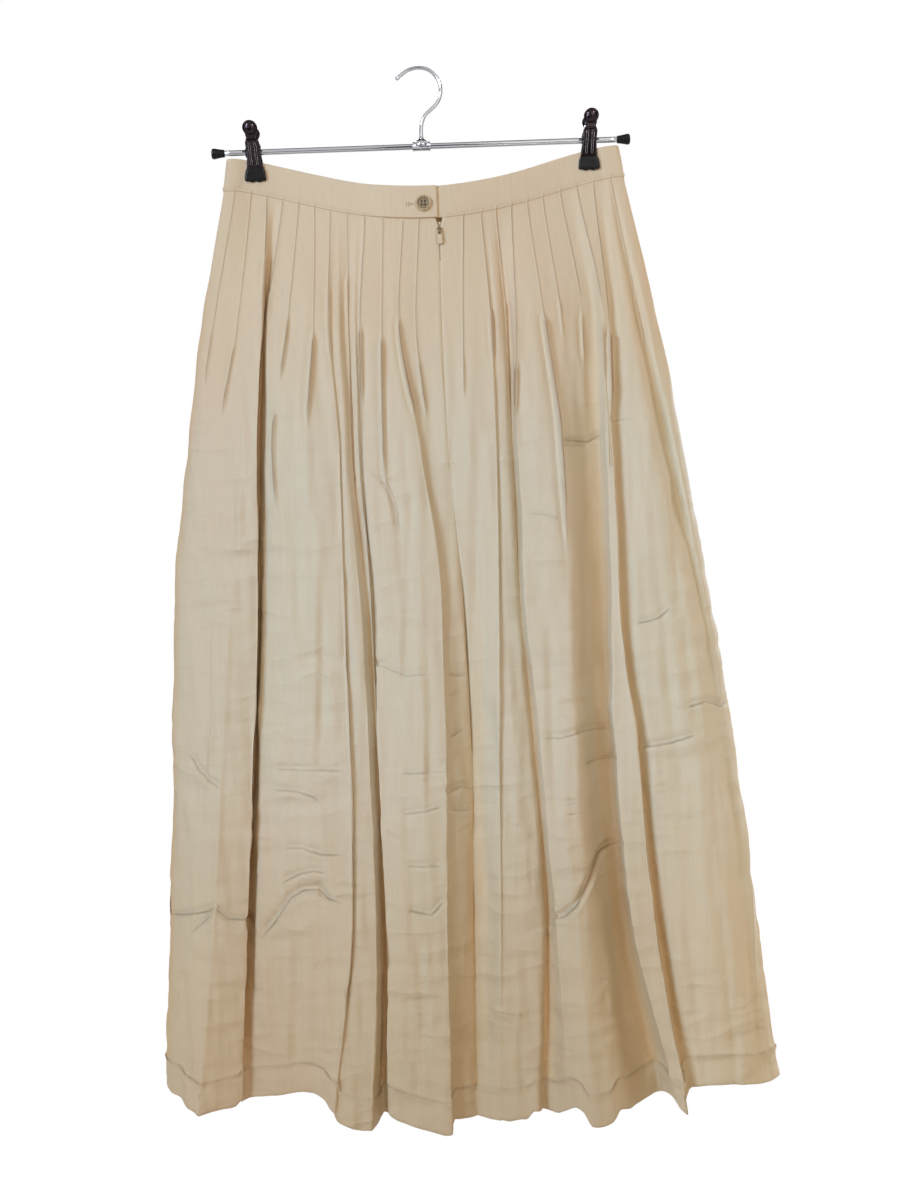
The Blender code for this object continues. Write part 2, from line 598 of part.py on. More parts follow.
def main():
    clear_scene()
    home = collection("a_line_skirt_on_clip_hanger")
    cloth = material("cream_cloth", (0.60, 0.52, 0.40), 0.75)
    tape = material("zip_tape", (0.55, 0.47, 0.35), 0.85)
    bronze = material("zip_metal", (0.36, 0.30, 0.20), 0.4, 0.8)
    horn = material("button_horn", (0.33, 0.27, 0.18), 0.4)
    chrome = material("chrome", (0.80, 0.80, 0.81), 0.12, 1.0)
    dark = material("dark_nickel", (0.08, 0.07, 0.08), 0.22, 0.9)
    rubber = material("black_rubber", (0.015, 0.015, 0.016), 0.35)
    build_panels(home, cloth)
    build_band(home, cloth)
    build_zip(home, tape, bronze)
    build_button(home, horn)
    build_hanger(home, chrome, dark, rubber)


main()
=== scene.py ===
"""Looks of a long cream a-line skirt on a two-clip hanger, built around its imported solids.

Sizes are millimetres in the tables, in the same frame as the solids: +Z up, X along the
hanger's rod, the zip side towards -Y, and the origin at the inside top of the hook.
"""

import math

import bmesh
import bpy
import numpy as np
from mathutils import Matrix, Vector


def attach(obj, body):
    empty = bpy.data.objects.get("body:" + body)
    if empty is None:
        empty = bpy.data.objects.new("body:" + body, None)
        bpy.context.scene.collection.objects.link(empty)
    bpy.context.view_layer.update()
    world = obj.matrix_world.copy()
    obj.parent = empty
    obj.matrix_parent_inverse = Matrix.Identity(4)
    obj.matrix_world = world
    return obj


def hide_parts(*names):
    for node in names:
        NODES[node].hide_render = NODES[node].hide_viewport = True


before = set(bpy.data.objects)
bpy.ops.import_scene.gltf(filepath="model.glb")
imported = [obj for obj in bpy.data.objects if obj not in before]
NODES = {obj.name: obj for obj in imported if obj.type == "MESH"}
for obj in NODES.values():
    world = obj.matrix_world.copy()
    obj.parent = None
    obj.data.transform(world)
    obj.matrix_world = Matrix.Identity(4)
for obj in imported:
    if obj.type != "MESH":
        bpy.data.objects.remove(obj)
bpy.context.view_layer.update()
MM = 0.001

# ------------------------------------------------------------------ sizes, mm
BAND_WALL, BAND_TALL = 2.2, 30.3
SEAM_SIDE_Z, SEAM_SAG = -109.6, 36.0
WAIST_LEFT, WAIST_RIGHT = -189.0, 192.0
BAND_IN = 4.6
LAP_END_X, UNDERLAP_X, LAP_PROUD = 13.2, -22.0, 2.7
HEM_TURN = 28.0
CLIP_X = 160.3
ROD_Z = -73.4
SECTION_Z = (-249.0, -364.0, -507.0, -650.0, -793.0)
STANDS = ((-109, 15), (-250, 30), (-364, 38), (-507, 46), (-650, 52), (-793, 56), (-990, 60))

# A fold line a row: its place at the waist seam, five sections and the hem, the hem's height
# there, how far it stands proud at the sections and the hem, and how crisp its edge is.
FOLD_COLUMNS = (
    "name x_waist x_249 x_364 x_507 x_650 x_793 x_hem z_hem "
    "p_249 p_364 p_507 p_650 p_793 p_hem crisp"
).split()
NEAR_LEFT = (
    ("side_left", -189, -217, -234, -251, -257, -265, -274, -958, 0, 0, 0, 0, 0, 0, 0),
    ("tuck_1", -178, -203, -221, -233, -241, -250, -257, -956, 2, 3, 4, 5, 6, 8, 0),
    ("tuck_2", -163, -179, -202, -215, -226, -237, -248, -962, 2, 5, 8, 10, 12, 16, 0),
    ("flap_crease", -156, -166, -173, -190, -203, -215, -235, -968, 4, 10, 14, 17, 20, 26, 1),
    ("flap_edge", -148, -155, -162, -165, -174, -184, -196, -961, 6, 10, 10, 9, 8, 4, 2),
    ("deep_gap", -140, -155, -163.5, -167, -177, -189, -198, -964, -10, -15, -15, -20, -14, -2, 0),
    ("panel_a_left", -133, -150, -155, -162, -170, -177, -190, -963, 0, 0, 0, 0, -1, -6, 1),
    ("tuck_5", -118, -131, -147, -141, -146, -151, -162, -962, 2, 4, 4, 5, 2, -4, 0),
    ("tuck_6", -103, -106, -115, -113, -116, -119, -128, -960, 3, 6, 8, 9, 6, -2, 0),
    ("panel_a_edge", -88, -92, -85, -85, -84, -87, -110, -968, 3, 4, 5, 8, 10, 12, 2),
    ("under_a", -83, -89, -86, -87, -86, -89, -107, -976, 1, 2, 3, 5, 7, 10, 0),
    ("strip_b", -80, -82, -80, -77, -76, -78, -92, -984, 1, 2, 3, 5, 7, 12, 0),
    ("strip_b_edge", -77, -79, -77.5, -70.5, -66.5, -65.5, -76, -989, -1, 1, 2, 4, 6, 11, 2),
    ("valley_b", -72, -73, -73, -65, -61, -60, -69, -988, -4, -7, -9, -9, -10, -9, 0),
    ("thin_ridge", -63, -67, -67.5, -60.8, -59.8, -58.8, -64.5, -982, 1, 0, -3, -9, -11, -9, 1),
    ("thin_valley", -59, -64.5, -65, -59.4, -58.7, -57.9, -62.5, -980, -1, -4, -8, -10, -11, -9, 0),
    ("panel_c_left", -55, -62, -63, -57, -58, -57, -61, -974, 3, 5, 6, 7, 9, 7, 2),
    ("tuck_10", -38, -42, -44, -35, -36, -36, -45, -977, 2, 6, 9, 11, 13, 11, 0),
    ("panel_c", -28, -33, -25, -15, -16, -18, -25, -983, 3, 7, 11, 13, 14, 15, 0),
    ("panel_c_edge", -19, -26, -10, 5, 4, 0, -3, -987, 2, 6, 8, 10, 12, 16, 2),
    ("under_c", -12, -19, -11, 2, 1, -3, -5, -985, 1, 1, 2, 3, 5, 8, 0),
    ("tuck_12", -4, -10, 0, 11, 13, 9, 4, -983, 0, -1, -1.5, -2, 1, 3, 0),
    ("centre_seam", 15, 14, 16, 25, 28, 24, 21, -978, 0, -1, -6, -13, -14, -7, 0),
)
NEAR_RIGHT = (
    NEAR_LEFT[-1],
    ("tuck_13", 38, 34, 32, 40, 38, 35, 30, -980, 1, 1, -5, -9, -11, -4, 0),
    ("edge_d", 55, 60, 61, 58, 53, 49, 41, -981, 2, 3, 4, 4, 2, 0, 2),
    ("under_d", 59, 62, 60, 57, 53, 50, 45, -979, 0, 0, 0, 1, 1, 0, 0),
    ("strip_e", 62, 66, 67, 66, 66, 63, 60, -975, 1, 0, 0, 1, 2, 1, 0),
    ("edge_e", 65.5, 70.5, 71.5, 73.5, 81, 86, 76.5, -977, -1, -1, -3, -3, -2, 1, 0),
    ("valley_e", 69, 75, 76, 78, 86, 91, 82, -978, -6, -9, -9, -9, -11, -9, 0),
    ("panel_f_left", 84, 84, 79, 81, 91, 97, 106, -984, 4, 7, 9, 10, 10, 8, 2),
    ("tuck_17", 99, 110, 120, 122, 122, 121, 128, -987, 5, 12, 14, 16, 18, 24, 0),
    ("tuck_18", 114, 126, 131, 131, 131, 138, 152, -984, 2, 4, 4, 3, 4, 18, 0),
    ("broad_valley", 131, 146, 145, 147, 148, 154, 172, -979, -2, -7, -15, -21, -23, -6, 0),
    ("broad_floor", 139, 157, 158, 157, 158, 165, 192, -974, -4, -9, -16, -21, -24, -20, 0),
    ("ribbon_left", 147, 165, 164, 161, 160, 167, 205, -972, 6, 8, 6, 6, 8, 6, 2),
    ("ribbon_right", 163, 170, 169, 169, 180, 189, 213, -980, 4, 8, 10, 12, 13, 14, 2),
    ("under_ribbon", 169, 176, 171, 171, 181, 191, 214, -973, -1, -4, -5, -4, -3, -3, 0),
    ("panel_g_left", 173, 183, 183, 186, 194, 202, 228, -969, 2, 3, 5, 6, 6, 4, 0),
    ("panel_g_right", 176, 192, 207, 229, 246, 258, 271, -970, 4, 9, 14, 18, 18, 10, 0),
    ("valley_g", 179, 202, 222, 246, 264, 277, 292, -975, -4, -6, 0, 4, 5, 3, 0),
    ("edge_h", 184, 209, 229, 252, 270, 284, 301, -974, 3, 4, 5, 6, 6, 4, 0),
    ("side_right", 192, 220, 239, 260, 278, 291, 309, -974, 0, 0, 0, 0, 0, 0, 0),
)

# A stitched tuck a row: its fold line, how far down it is sewn, its step, which side is up,
# and the slits where its fold opens: from z, to z, depth and half-width.
TUCKS = (
    ("tuck_1", -262, 0.7, "left", ((-238, -300, 3.0, 1.3),)),
    ("tuck_2", -282, 0.7, "left", ((-256, -330, 4.4, 1.4),)),
    ("flap_edge", -172, 0.5, "left", ((-168, -240, 2.0, 1.3),)),
    ("panel_a_left", -222, 0.7, "left", ((-204, -246, 2.6, 1.2),)),
    ("tuck_5", -250, 0.7, "left", ((-232, -300, 4.2, 1.5), (-322, -420, 5.4, 1.6))),
    ("tuck_6", -300, 0.7, "left", ((-250, -348, 6.0, 1.8),)),
    ("panel_a_edge", -236, 0.7, "left", ((-204, -290, 2.2, 1.6), (-470, -985, 1.5, 1.2))),
    ("valley_b", -222, 0.7, "left", ((-192, -470, 3.6, 1.6),)),
    ("panel_c_left", -245, 0.7, "right", ((-244, -330, 3.6, 1.5),)),
    ("tuck_10", -302, 0.7, "left", ((-256, -412, 6.4, 1.5),)),
    ("panel_c_edge", -240, 0.7, "left", ((-238, -346, 5.0, 1.7),)),
    ("tuck_12", -285, 0.7, "left", ((-276, -340, 3.6, 1.4),)),
    ("tuck_13", -290, 0.6, "right", ((-276, -322, 2.2, 1.2),)),
    ("edge_d", -252, 0.7, "left", ((-232, -290, 3.0, 1.4),)),
    ("valley_e", -240, 0.7, "right", ((-222, -620, 3.0, 1.3),)),
    ("panel_f_left", -300, 0.7, "right", ((-284, -344, 3.8, 1.5),)),
    ("tuck_17", -255, 0.7, "left", ((-240, -478, 8.0, 1.8),)),
    ("tuck_18", -236, 0.6, "left", ((-222, -270, 1.8, 1.3),)),
    ("broad_valley", -220, 0.6, "left", ((-236, -292, 2.8, 1.4),)),
    ("ribbon_left", -225, 0.7, "right", ((-250, -312, 2.4, 1.1),)),
    ("ribbon_right", -245, 0.7, "left", ((-254, -340, 4.4, 1.6),)),
    ("valley_g", -220, 0.6, "left", ((-222, -280, 2.6, 1.3),)),
)

# A crease a row: kind, height, half-width, and its points (x, z).
CREASES = (
    ("fold", 1.6, 4.5, [(-57, -385), (-44, -397), (-37, -416), (-34, -445)]),
    ("fold", 2.0, 3.5, [(122, -362), (148, -363), (161, -355)]),
    ("fold", 1.3, 2.6, [(122, -367), (148, -367)]),
    ("fold", 1.0, 3.0, [(166, -344), (189, -343)]),
    ("trough", 0.8, 3.0, [(131, -423), (145, -423)]),
    ("fold", 1.2, 3.0, [(89, -429), (103, -431), (115, -436)]),
    ("trough", 0.8, 3.5, [(88, -474), (120, -475)]),
    ("trough", 0.7, 4.0, [(-230, -356), (-208, -360), (-183, -358)]),
    ("trough", 0.8, 3.0, [(-81, -388), (-74, -389)]),
    ("trough", 0.7, 3.0, [(8, -380), (22, -380)]),
    ("trough", 0.7, 3.0, [(63, -379), (75, -379)]),
    ("fold", 1.4, 4.0, [(-61, -564), (-52, -565), (-43, -570), (-30, -575), (-8, -574)]),
    ("ridge", 1.1, 6.0, [(-128, -557), (-111, -553), (-95, -560), (-87, -573)]),
    ("trough", 0.8, 5.0, [(-129, -575), (-112, -569), (-97, -576)]),
    ("fold", 1.8, 4.5, [(-236, -643), (-228, -656), (-216, -667), (-205, -673)]),
    ("fold", 1.5, 4.0, [(-156, -657), (-131, -658), (-91, -660)]),
    ("fold", 1.4, 4.0, [(-159, -676), (-135, -678), (-120, -683), (-112, -690)]),
    ("fold", 1.3, 4.0, [(-149, -730), (-131, -730), (-115, -736), (-97, -737)]),
    ("fold", 1.5, 4.0, [(-151, -762), (-135, -754), (-122, -751), (-110, -753)]),
    ("fold", 2.6, 4.5, [(-174, -814), (-161, -800), (-144, -776), (-132, -769), (-118, -768), (-109, -777), (-95, -781)]),
    ("fold", 2.2, 3.8, [(-265, -796), (-238, -790), (-222, -786), (-215, -780)]),
    ("fold", 2.0, 3.8, [(-238, -807), (-224, -793), (-214, -782)]),
    ("fold", 2.2, 3.8, [(-214, -782), (-202, -793), (-186, -795), (-183, -804)]),
    ("fold", 1.2, 3.5, [(-38, -664), (-16, -664), (3, -663)]),
    ("fold", 1.2, 3.5, [(-38, -701), (-17, -699), (0, -695)]),
    ("trough", 0.9, 3.0, [(-53, -714), (-46, -719)]),
    ("fold", 1.5, 3.5, [(-36, -748), (-19, -749), (-2, -749)]),
    ("trough", 0.8, 3.0, [(-15, -767), (-1, -766)]),
    ("fold", 1.7, 4.0, [(-37, -788), (-25, -791), (-14, -793), (-1, -780)]),
    ("fold", 1.4, 3.2, [(8, -574), (16, -577), (25, -577)]),
    ("fold", 1.3, 3.2, [(8, -595), (19, -593)]),
    ("fold", 1.6, 3.5, [(7, -633), (13, -631), (21, -627)]),
    ("fold", 1.4, 3.5, [(2, -685), (10, -682), (17, -679), (26, -683)]),
    ("fold", 1.2, 3.2, [(2, -699), (13, -701), (24, -702)]),
    ("fold", 1.8, 4.0, [(184, -535), (195, -533), (206, -530), (217, -521)]),
    ("fold", 1.8, 4.5, [(90, -636), (107, -637), (129, -632), (160, -632)]),
    ("fold", 1.3, 4.5, [(131, -663), (145, -661), (161, -659)]),
    ("fold", 1.8, 4.0, [(228, -614), (249, -609), (263, -616), (273, -611)]),
    ("fold", 1.8, 4.5, [(183, -650), (198, -648), (213, -646), (236, -639)]),
    ("fold", 1.2, 3.0, [(111, -697), (123, -696)]),
    ("fold", 1.2, 3.0, [(113, -706), (123, -705)]),
    ("trough", 0.9, 3.5, [(188, -602), (200, -606)]),
    ("fold", 3.2, 5.0, [(95, -803), (106, -799), (119, -788), (136, -761), (145, -746), (163, -738)]),
    ("trough", 0.9, 3.5, [(78, -816), (95, -814)]),
    ("trough", 1.0, 5.0, [(38, -884), (52, -887), (66, -890)]),
    ("ridge", 1.4, 6.0, [(-123, -390), (-127, -465), (-131, -538)]),
    ("ridge", 1.2, 6.0, [(-105, -465), (-106, -576), (-112, -649)]),
    ("ridge", 1.2, 5.0, [(-178, -331), (-188, -425), (-195, -518)]),
    ("ridge", 1.3, 5.0, [(-19, -394), (-26, -505), (-33, -597)]),
    ("ridge", 1.2, 5.0, [(-7, -469), (-9, -598), (-15, -707)]),
    ("ridge", 1.2, 6.0, [(46, -341), (40, -452), (33, -563)]),
    ("ridge", 1.4, 6.0, [(103, -510), (102, -620), (102, -730)]),
    ("ridge", 1.5, 7.0, [(225, -392), (227, -514), (236, -626)]),
    ("ridge", 1.3, 7.0, [(205, -476), (212, -588), (223, -700)]),
    ("ridge", 1.4, 7.0, [(245, -552), (251, -665), (256, -777)]),
    ("ridge", 1.3, 6.0, [(-136, -805), (-142, -878), (-148, -942)]),
    ("ridge", 1.5, 6.0, [(-108, -796), (-105, -878), (-111, -942)]),
    ("ridge", 1.2, 6.0, [(-26, -807), (-25, -880), (-31, -962)]),
    ("ridge", 1.3, 7.0, [(254, -795), (256, -869), (263, -943)]),
    ("ridge", 1.3, 7.0, [(191, -790), (201, -864), (209, -937)]),
    ("trough", 1.2, 5.0, [(286, -669), (285, -799), (286, -928)]),
    ("trough", 1.0, 5.0, [(-210, -517), (-211, -610), (-220, -685)]),
)

# A fold of the plain side a row: its share across, width, rise and lean.
FAR_FOLDS = (
    (0.085, 0.050, 9, -0.010), (0.175, 0.040, 12, -0.012), (0.262, 0.046, 10, 0.006),
    (0.350, 0.036, 14, -0.008), (0.437, 0.048, 11, 0.010), (0.530, 0.040, 15, -0.006),
    (0.615, 0.044, 10, 0.012), (0.705, 0.036, 13, 0.004), (0.792, 0.048, 11, -0.008),
    (0.880, 0.040, 12, 0.010),
)

# Slow unevenness of hanging cloth: across, down (waves a metre), phase, height in mm.
RIPPLES = (
    (31, 2.3, 0.4, 0.42), (47, -3.1, 2.1, 0.34), (72, 4.2, 4.0, 0.22), (19, 5.7, 1.3, 0.40),
    (95, -6.8, 5.2, 0.14), (58, 9.5, 0.9, 0.16), (11, 13.0, 3.3, 0.22), (38, 17.0, 2.7, 0.12),
)


# Creases of worn cloth: facets' width and height, slant, rise (mm) and seed.
CRUMPLES = (
    (74, 30, 0.10, 1.70, 3), (40, 15, -0.16, 0.95, 5), (19, 8.5, 0.22, 0.42, 8), (24, 70, 0.0, 0.70, 12),
)

# How far the hem's edge rises above the run between two fold lines, at x.
HEM_RISE = (
    (-276, 4), (-271, -2), (-265, -5), (-248, -5), (-240, -3), (-220, -3), (-203, -4), (-197, 0), (-186, 2),
    (-161, 4), (-139, 5), (-127, 3), (-119, 2), (-114, -1), (-107, -2), (-96, -1), (-86, 0), (-72, 4), (-66, 7),
    (-60, 0), (-56, -2), (-43, -4), (-24, -4), (-10, -5), (-3.5, -4), (-1, 4), (5, 2), (21, -3), (41, -4),
    (52, -9), (65, -9), (74, 0), (93, 0), (100, 5), (112, 13), (117, 12), (124, 0), (134, 0), (143, 2),
    (151, 10), (163, 5), (190, 2), (201, 0), (207, -7), (213, -5), (219, 6), (273, 5), (299, 6), (309, 5),
)


# ------------------------------------------------------------------ small mathematics
def smooth(t):
    t = np.clip(t, 0.0, 1.0)
    return t * t * (3 - 2 * t)


def through(places, values, at):
    """A line through (place, value) knots that never overshoots them, at many places."""
    places, values = np.asarray(places, float), np.asarray(values, float)
    step = np.diff(places)
    rise = np.diff(values) / step
    slope = np.empty_like(values)
    slope[0], slope[-1] = rise[0], rise[-1]
    same = rise[:-1] * rise[1:] > 0
    total = np.where(same, rise[:-1] + rise[1:], 1.0)
    slope[1:-1] = np.where(same, 2 * rise[:-1] * rise[1:] / total, 0.0)
    at = np.clip(at, places[0], places[-1])
    i = np.clip(np.searchsorted(places, at, side="right") - 1, 0, len(step) - 1)
    h, t = step[i], (at - places[i]) / step[i]
    return (
        (2 * t**3 - 3 * t**2 + 1) * values[i] + (t**3 - 2 * t**2 + t) * h * slope[i]
        + (3 * t**2 - 2 * t**3) * values[i + 1] + (t**3 - t**2) * h * slope[i + 1]
    )


def seam_z(x):
    u = np.minimum(1.0, np.abs(np.asarray(x, float) - 1.5) / 190.5)
    return SEAM_SIDE_Z - SEAM_SAG * (1 - u * u) ** 1.8


def waist_stand(x):
    a = np.abs(np.asarray(x, float))
    middle = 1.6 + 13.4 * np.cos(math.pi * np.minimum(a, 149) / 298) ** 2
    return np.where(a < 149, middle, 1.6 + 1.6 * smooth((a - 171.5) / 8))


FOLDS = {row[0]: dict(zip(FOLD_COLUMNS, row)) for row in NEAR_LEFT + NEAR_RIGHT}


def fold_x(fold, z):
    places = [-seam_z(fold["x_waist"])] + [-s for s in SECTION_Z] + [-fold["z_hem"]]
    values = [fold[k] for k in ("x_waist", "x_249", "x_364", "x_507", "x_650", "x_793", "x_hem")]
    return through(places, values, -z)


def fold_proud(fold, z):
    places = [-seam_z(fold["x_waist"])] + [-s for s in SECTION_Z] + [-fold["z_hem"]]
    values = [0.0] + [fold[k] for k in ("p_249", "p_364", "p_507", "p_650", "p_793", "p_hem")]
    return through(places, values, -z)


def side_x(z):
    return fold_x(FOLDS["side_left"], z), fold_x(FOLDS["side_right"], z)


def stand(x, z):
    left, right = side_x(z)
    s = np.minimum(1.0, np.abs(x - (left + right) / 2) / ((right - left) / 2))
    deep = through([-a for a, _ in STANDS], [b for _, b in STANDS], -z)
    body = deep * np.sqrt(np.maximum(0.0, 1 - s**2.6))
    share = smooth((seam_z(x) - z) / 115)
    return (waist_stand(x) + 1.1) * (1 - share) + body * share


# ------------------------------------------------------------------ the cloth grid
def near_lines(rows, t):
    """The fold lines of one near panel: (line, row, xyz), with a crispness for each line."""
    lines, crisp = [], []
    for row in rows:
        fold = FOLDS[row[0]]
        top = float(seam_z(fold["x_waist"])) - 0.2
        z = top + (fold["z_hem"] - top) * t
        x = fold_x(fold, z)
        deep = np.maximum(stand(x, z) + fold_proud(fold, z), 2.0)
        if fold["name"].startswith("side"):
            deep = np.full_like(x, -2.2)
            x = x + (0.9 if fold["name"] == "side_left" else -0.9)
        lines.append(np.stack([x, -deep, z], 1))
        crisp.append(fold["crisp"])
    lines, crisp = np.array(lines), list(crisp)
    # One more line beside each side seam, so the side rounds over instead of coming to a point.
    for side, near, at in ((0, 1, 1), (-1, -2, len(lines) - 1)):
        if rows[side][0].startswith("side"):
            a, b = lines[side], lines[near]
            out_x = a[:, 0] + (-0.9 if side == 0 else 0.9)
            x, z = out_x, a[:, 2]
            y = np.full_like(x, -1.6)
            lines = np.insert(lines, at, np.stack([x, y, z], 1), axis=0)
            crisp.insert(at, 0)
    return lines, crisp


def far_lines(t):
    table = [(0.0, 0.0, 0.0, 0), (0.012, 1.0, 0.0, 0)]
    for k, (share, width, rise, lean) in enumerate(FAR_FOLDS):
        crisp = 2 if k % 3 == 1 else 1 if k % 3 == 2 else 0
        table.append((share - width * 0.45, rise * 0.8, lean, 0))
        table.append((share, rise * 1.08, lean, 0))
        table.append((share + width * 0.45, rise, lean, crisp))
        if k + 1 < len(FAR_FOLDS):
            after = FAR_FOLDS[k + 1]
            middle = (share + width / 2 + after[0] - after[1] / 2) / 2
            table.append((middle - 0.008, -after[2] * 1.25, lean, 0))
            table.append((middle + 0.006, -rise * 1.1, after[3], 0))
    table += [(0.988, 1.0, 0.0, 0), (1.0, 0.0, 0.0, 0)]
    lines, crisp = [], []
    for share, rise, lean, edge in table:
        across = share + lean * smooth(t * 1.1)
        x_top = WAIST_LEFT + (WAIST_RIGHT - WAIST_LEFT) * share
        top = float(seam_z(x_top)) - 0.2
        bottom = -964.0 - 16 * math.sin(math.pi * share) - 0.35 * rise
        if share in (0.0, 1.0):
            bottom = FOLDS["side_left" if share == 0.0 else "side_right"]["z_hem"]
        z = top + (bottom - top) * t
        left, right = side_x(z)
        x = left + (right - left) * across
        y = np.maximum(stand(x, z) + rise * smooth((t - 0.05) / 0.45), 2.0)
        if share in (0.0, 1.0):
            x, y = (left + 1.0, right - 1.0)[int(share)], np.full_like(z, 2.0)
        lines.append(np.stack([x, y, z], 1))
        crisp.append(edge)
    return np.array(lines), crisp


def with_edges(lines, crisp):
    """Adds a point close to each side of a crisp edge, so that the fold is pressed, not round."""
    out, first = [], {}
    for k, line in enumerate(lines):
        near = {1: 4.5, 2: 1.8}.get(crisp[k])
        if near and 0 < k < len(lines) - 1:
            for other in (lines[k - 1], None, lines[k + 1]):
                if other is None:
                    first[k] = len(out)
                    out.append(line)
                    continue
                gap = np.linalg.norm(other - line, axis=1, keepdims=True)
                out.append(line + (other - line) * np.minimum(0.35, near / np.maximum(gap, 0.01)))
        else:
            first[k] = len(out)
            out.append(line)
    return np.array(out), first


def section(lines, columns, first):
    """Splines across the fold lines, row by row. Returns points (row, column, xyz)."""
    count = len(lines)
    length = np.linalg.norm(np.diff(lines, axis=0), axis=2)
    weigh = np.maximum(length.max(axis=1), 1.5) ** 0.85
    share = np.maximum(2, np.round(weigh / weigh.sum() * columns)).astype(int)
    padded = np.concatenate([[2 * lines[0] - lines[1]], lines, [2 * lines[-1] - lines[-2]]])
    knots = np.maximum(np.linalg.norm(np.diff(padded, axis=0), axis=2), 0.02) ** 0.5
    made, places = [], {}
    for k in range(count - 1):
        p0, p1, p2, p3 = (padded[k + j][:, None, :] for j in range(4))
        t0 = np.zeros(lines.shape[1])
        t1 = t0 + knots[k]
        t2 = t1 + knots[k + 1]
        t3 = t2 + knots[k + 2]
        t0, t1, t2, t3 = (v[:, None, None] for v in (t0, t1, t2, t3))
        u = np.arange(share[k]) / share[k]
        u = u - 0.70 * np.sin(2 * math.pi * u) / (2 * math.pi)
        t = t1 + (t2 - t1) * u[None, :, None]
        a1 = (t1 - t) / (t1 - t0) * p0 + (t - t0) / (t1 - t0) * p1
        a2 = (t2 - t) / (t2 - t1) * p1 + (t - t1) / (t2 - t1) * p2
        a3 = (t3 - t) / (t3 - t2) * p2 + (t - t2) / (t3 - t2) * p3
        b1 = (t2 - t) / (t2 - t0) * a1 + (t - t0) / (t2 - t0) * a2
        b2 = (t3 - t) / (t3 - t1) * a2 + (t - t1) / (t3 - t1) * a3
        places[k] = sum(m.shape[1] for m in made)
        made.append((t2 - t) / (t2 - t1) * b1 + (t - t1) / (t2 - t1) * b2)
    made.append(lines[-1][:, None, :])
    places[count - 1] = sum(m.shape[1] for m in made[:-1])
    return np.concatenate(made, axis=1), {k: places[v] for k, v in first.items()}


def normals(grid, side):
    """Unit normals of a grid, turned to the outside of the skirt."""
    across = np.gradient(grid, axis=1)
    down = np.gradient(grid, axis=0)
    n = np.cross(across, down)
    n /= np.maximum(np.linalg.norm(n, axis=2, keepdims=True), 1e-9)
    return n if side < 0 else -n


def away_from(x, z, points):
    """Signed distance to a line of points, and how far along it the nearest place is."""
    best = np.full(x.shape, 1e9)
    sign = np.zeros(x.shape)
    along = np.zeros(x.shape)
    total = sum(math.dist(a, b) for a, b in zip(points, points[1:]))
    run = 0.0
    for (ax, az), (bx, bz) in zip(points, points[1:]):
        dx, dz = bx - ax, bz - az
        length = math.hypot(dx, dz)
        s = np.clip(((x - ax) * dx + (z - az) * dz) / length**2, 0, 1)
        far = np.hypot(x - ax - s * dx, z - az - s * dz)
        cross = (dx * (z - az) - dz * (x - ax)) / length
        closer = far < best
        best = np.where(closer, far, best)
        sign = np.where(closer, np.sign(cross), sign)
        along = np.where(closer, (run + s * length) / total, along)
        run += length
    return best * sign, along


def crease_height(x, z, mirrored=False):
    """The creases' height, with the distance across the nearest one and its rise there.

    The creases take turns in two sets, so that neighbours which meet don't cut each other off."""
    height = np.zeros_like(x)
    sets = [(np.full_like(x, 1e9), np.full_like(x, 30.0), np.zeros_like(x)) for _ in range(2)]
    for index, (kind, rise, width, points) in enumerate(CREASES):
        nearest, across, rises = sets[index % 2]
        if mirrored:
            points = [(12 - px, pz + 14) for px, pz in points][::-1]
            rise = 0.5 * rise
        xs, zs = [p[0] for p in points], [p[1] for p in points]
        width = 0.74 * width
        pad = width * 4.0
        near = (x > min(xs) - pad) & (x < max(xs) + pad) & (z > min(zs) - pad) & (z < max(zs) + pad)
        if not near.any():
            continue
        d, s = away_from(x[near], z[near], points)
        fade = smooth(s / 0.14) * smooth((1 - s) / 0.14) * 0.85 + 0.15
        if kind == "ridge":
            shape = np.exp(-((d / width) ** 2))
        elif kind == "trough":
            shape = -np.exp(-((d / width) ** 2))
        else:
            shape = np.exp(-(((d - 0.45 * width) / width) ** 2)) - 0.4 * np.exp(-(((d + 0.6 * width) / (0.7 * width)) ** 2))
        height[near] += 1.7 * rise * fade * shape
        if kind != "ridge":
            closer = np.abs(d) < nearest[near]
            far = np.hypot(x[near] - np.clip(x[near], min(xs), max(xs)), z[near] - np.clip(z[near], min(zs), max(zs)))
            for kept, new in ((nearest, np.abs(d)), (across, d), (rises, rise * fade * np.exp(-far / 2.0) * (1.0 if kind == "fold" else 0.6))):
                kept[near] = np.where(closer, new, kept[near])
    return height, [chosen[1:] for chosen in sets]


def ripple_height(x, z, shift):
    total = np.zeros_like(x)
    for across, down, phase, rise in RIPPLES:
        total += rise * np.sin(2 * math.pi * (across * (x + shift) + down * z) * 0.001 + phase + 1.3 * np.sin(z * 0.011 + phase))
    return total


def lattice_noise(u, v, seed):
    """Smooth noise from -1 to 1 on a lattice of seeded values."""
    values = np.random.default_rng(seed).uniform(-1, 1, (64, 64))
    iu, iv = np.floor(u).astype(int), np.floor(v).astype(int)
    fu, fv = smooth(u - iu), smooth(v - iv)
    a, b = values[iu % 64, iv % 64], values[(iu + 1) % 64, iv % 64]
    c, d = values[iu % 64, (iv + 1) % 64], values[(iu + 1) % 64, (iv + 1) % 64]
    return (a * (1 - fu) + b * fu) * (1 - fv) + (c * (1 - fu) + d * fu) * fv


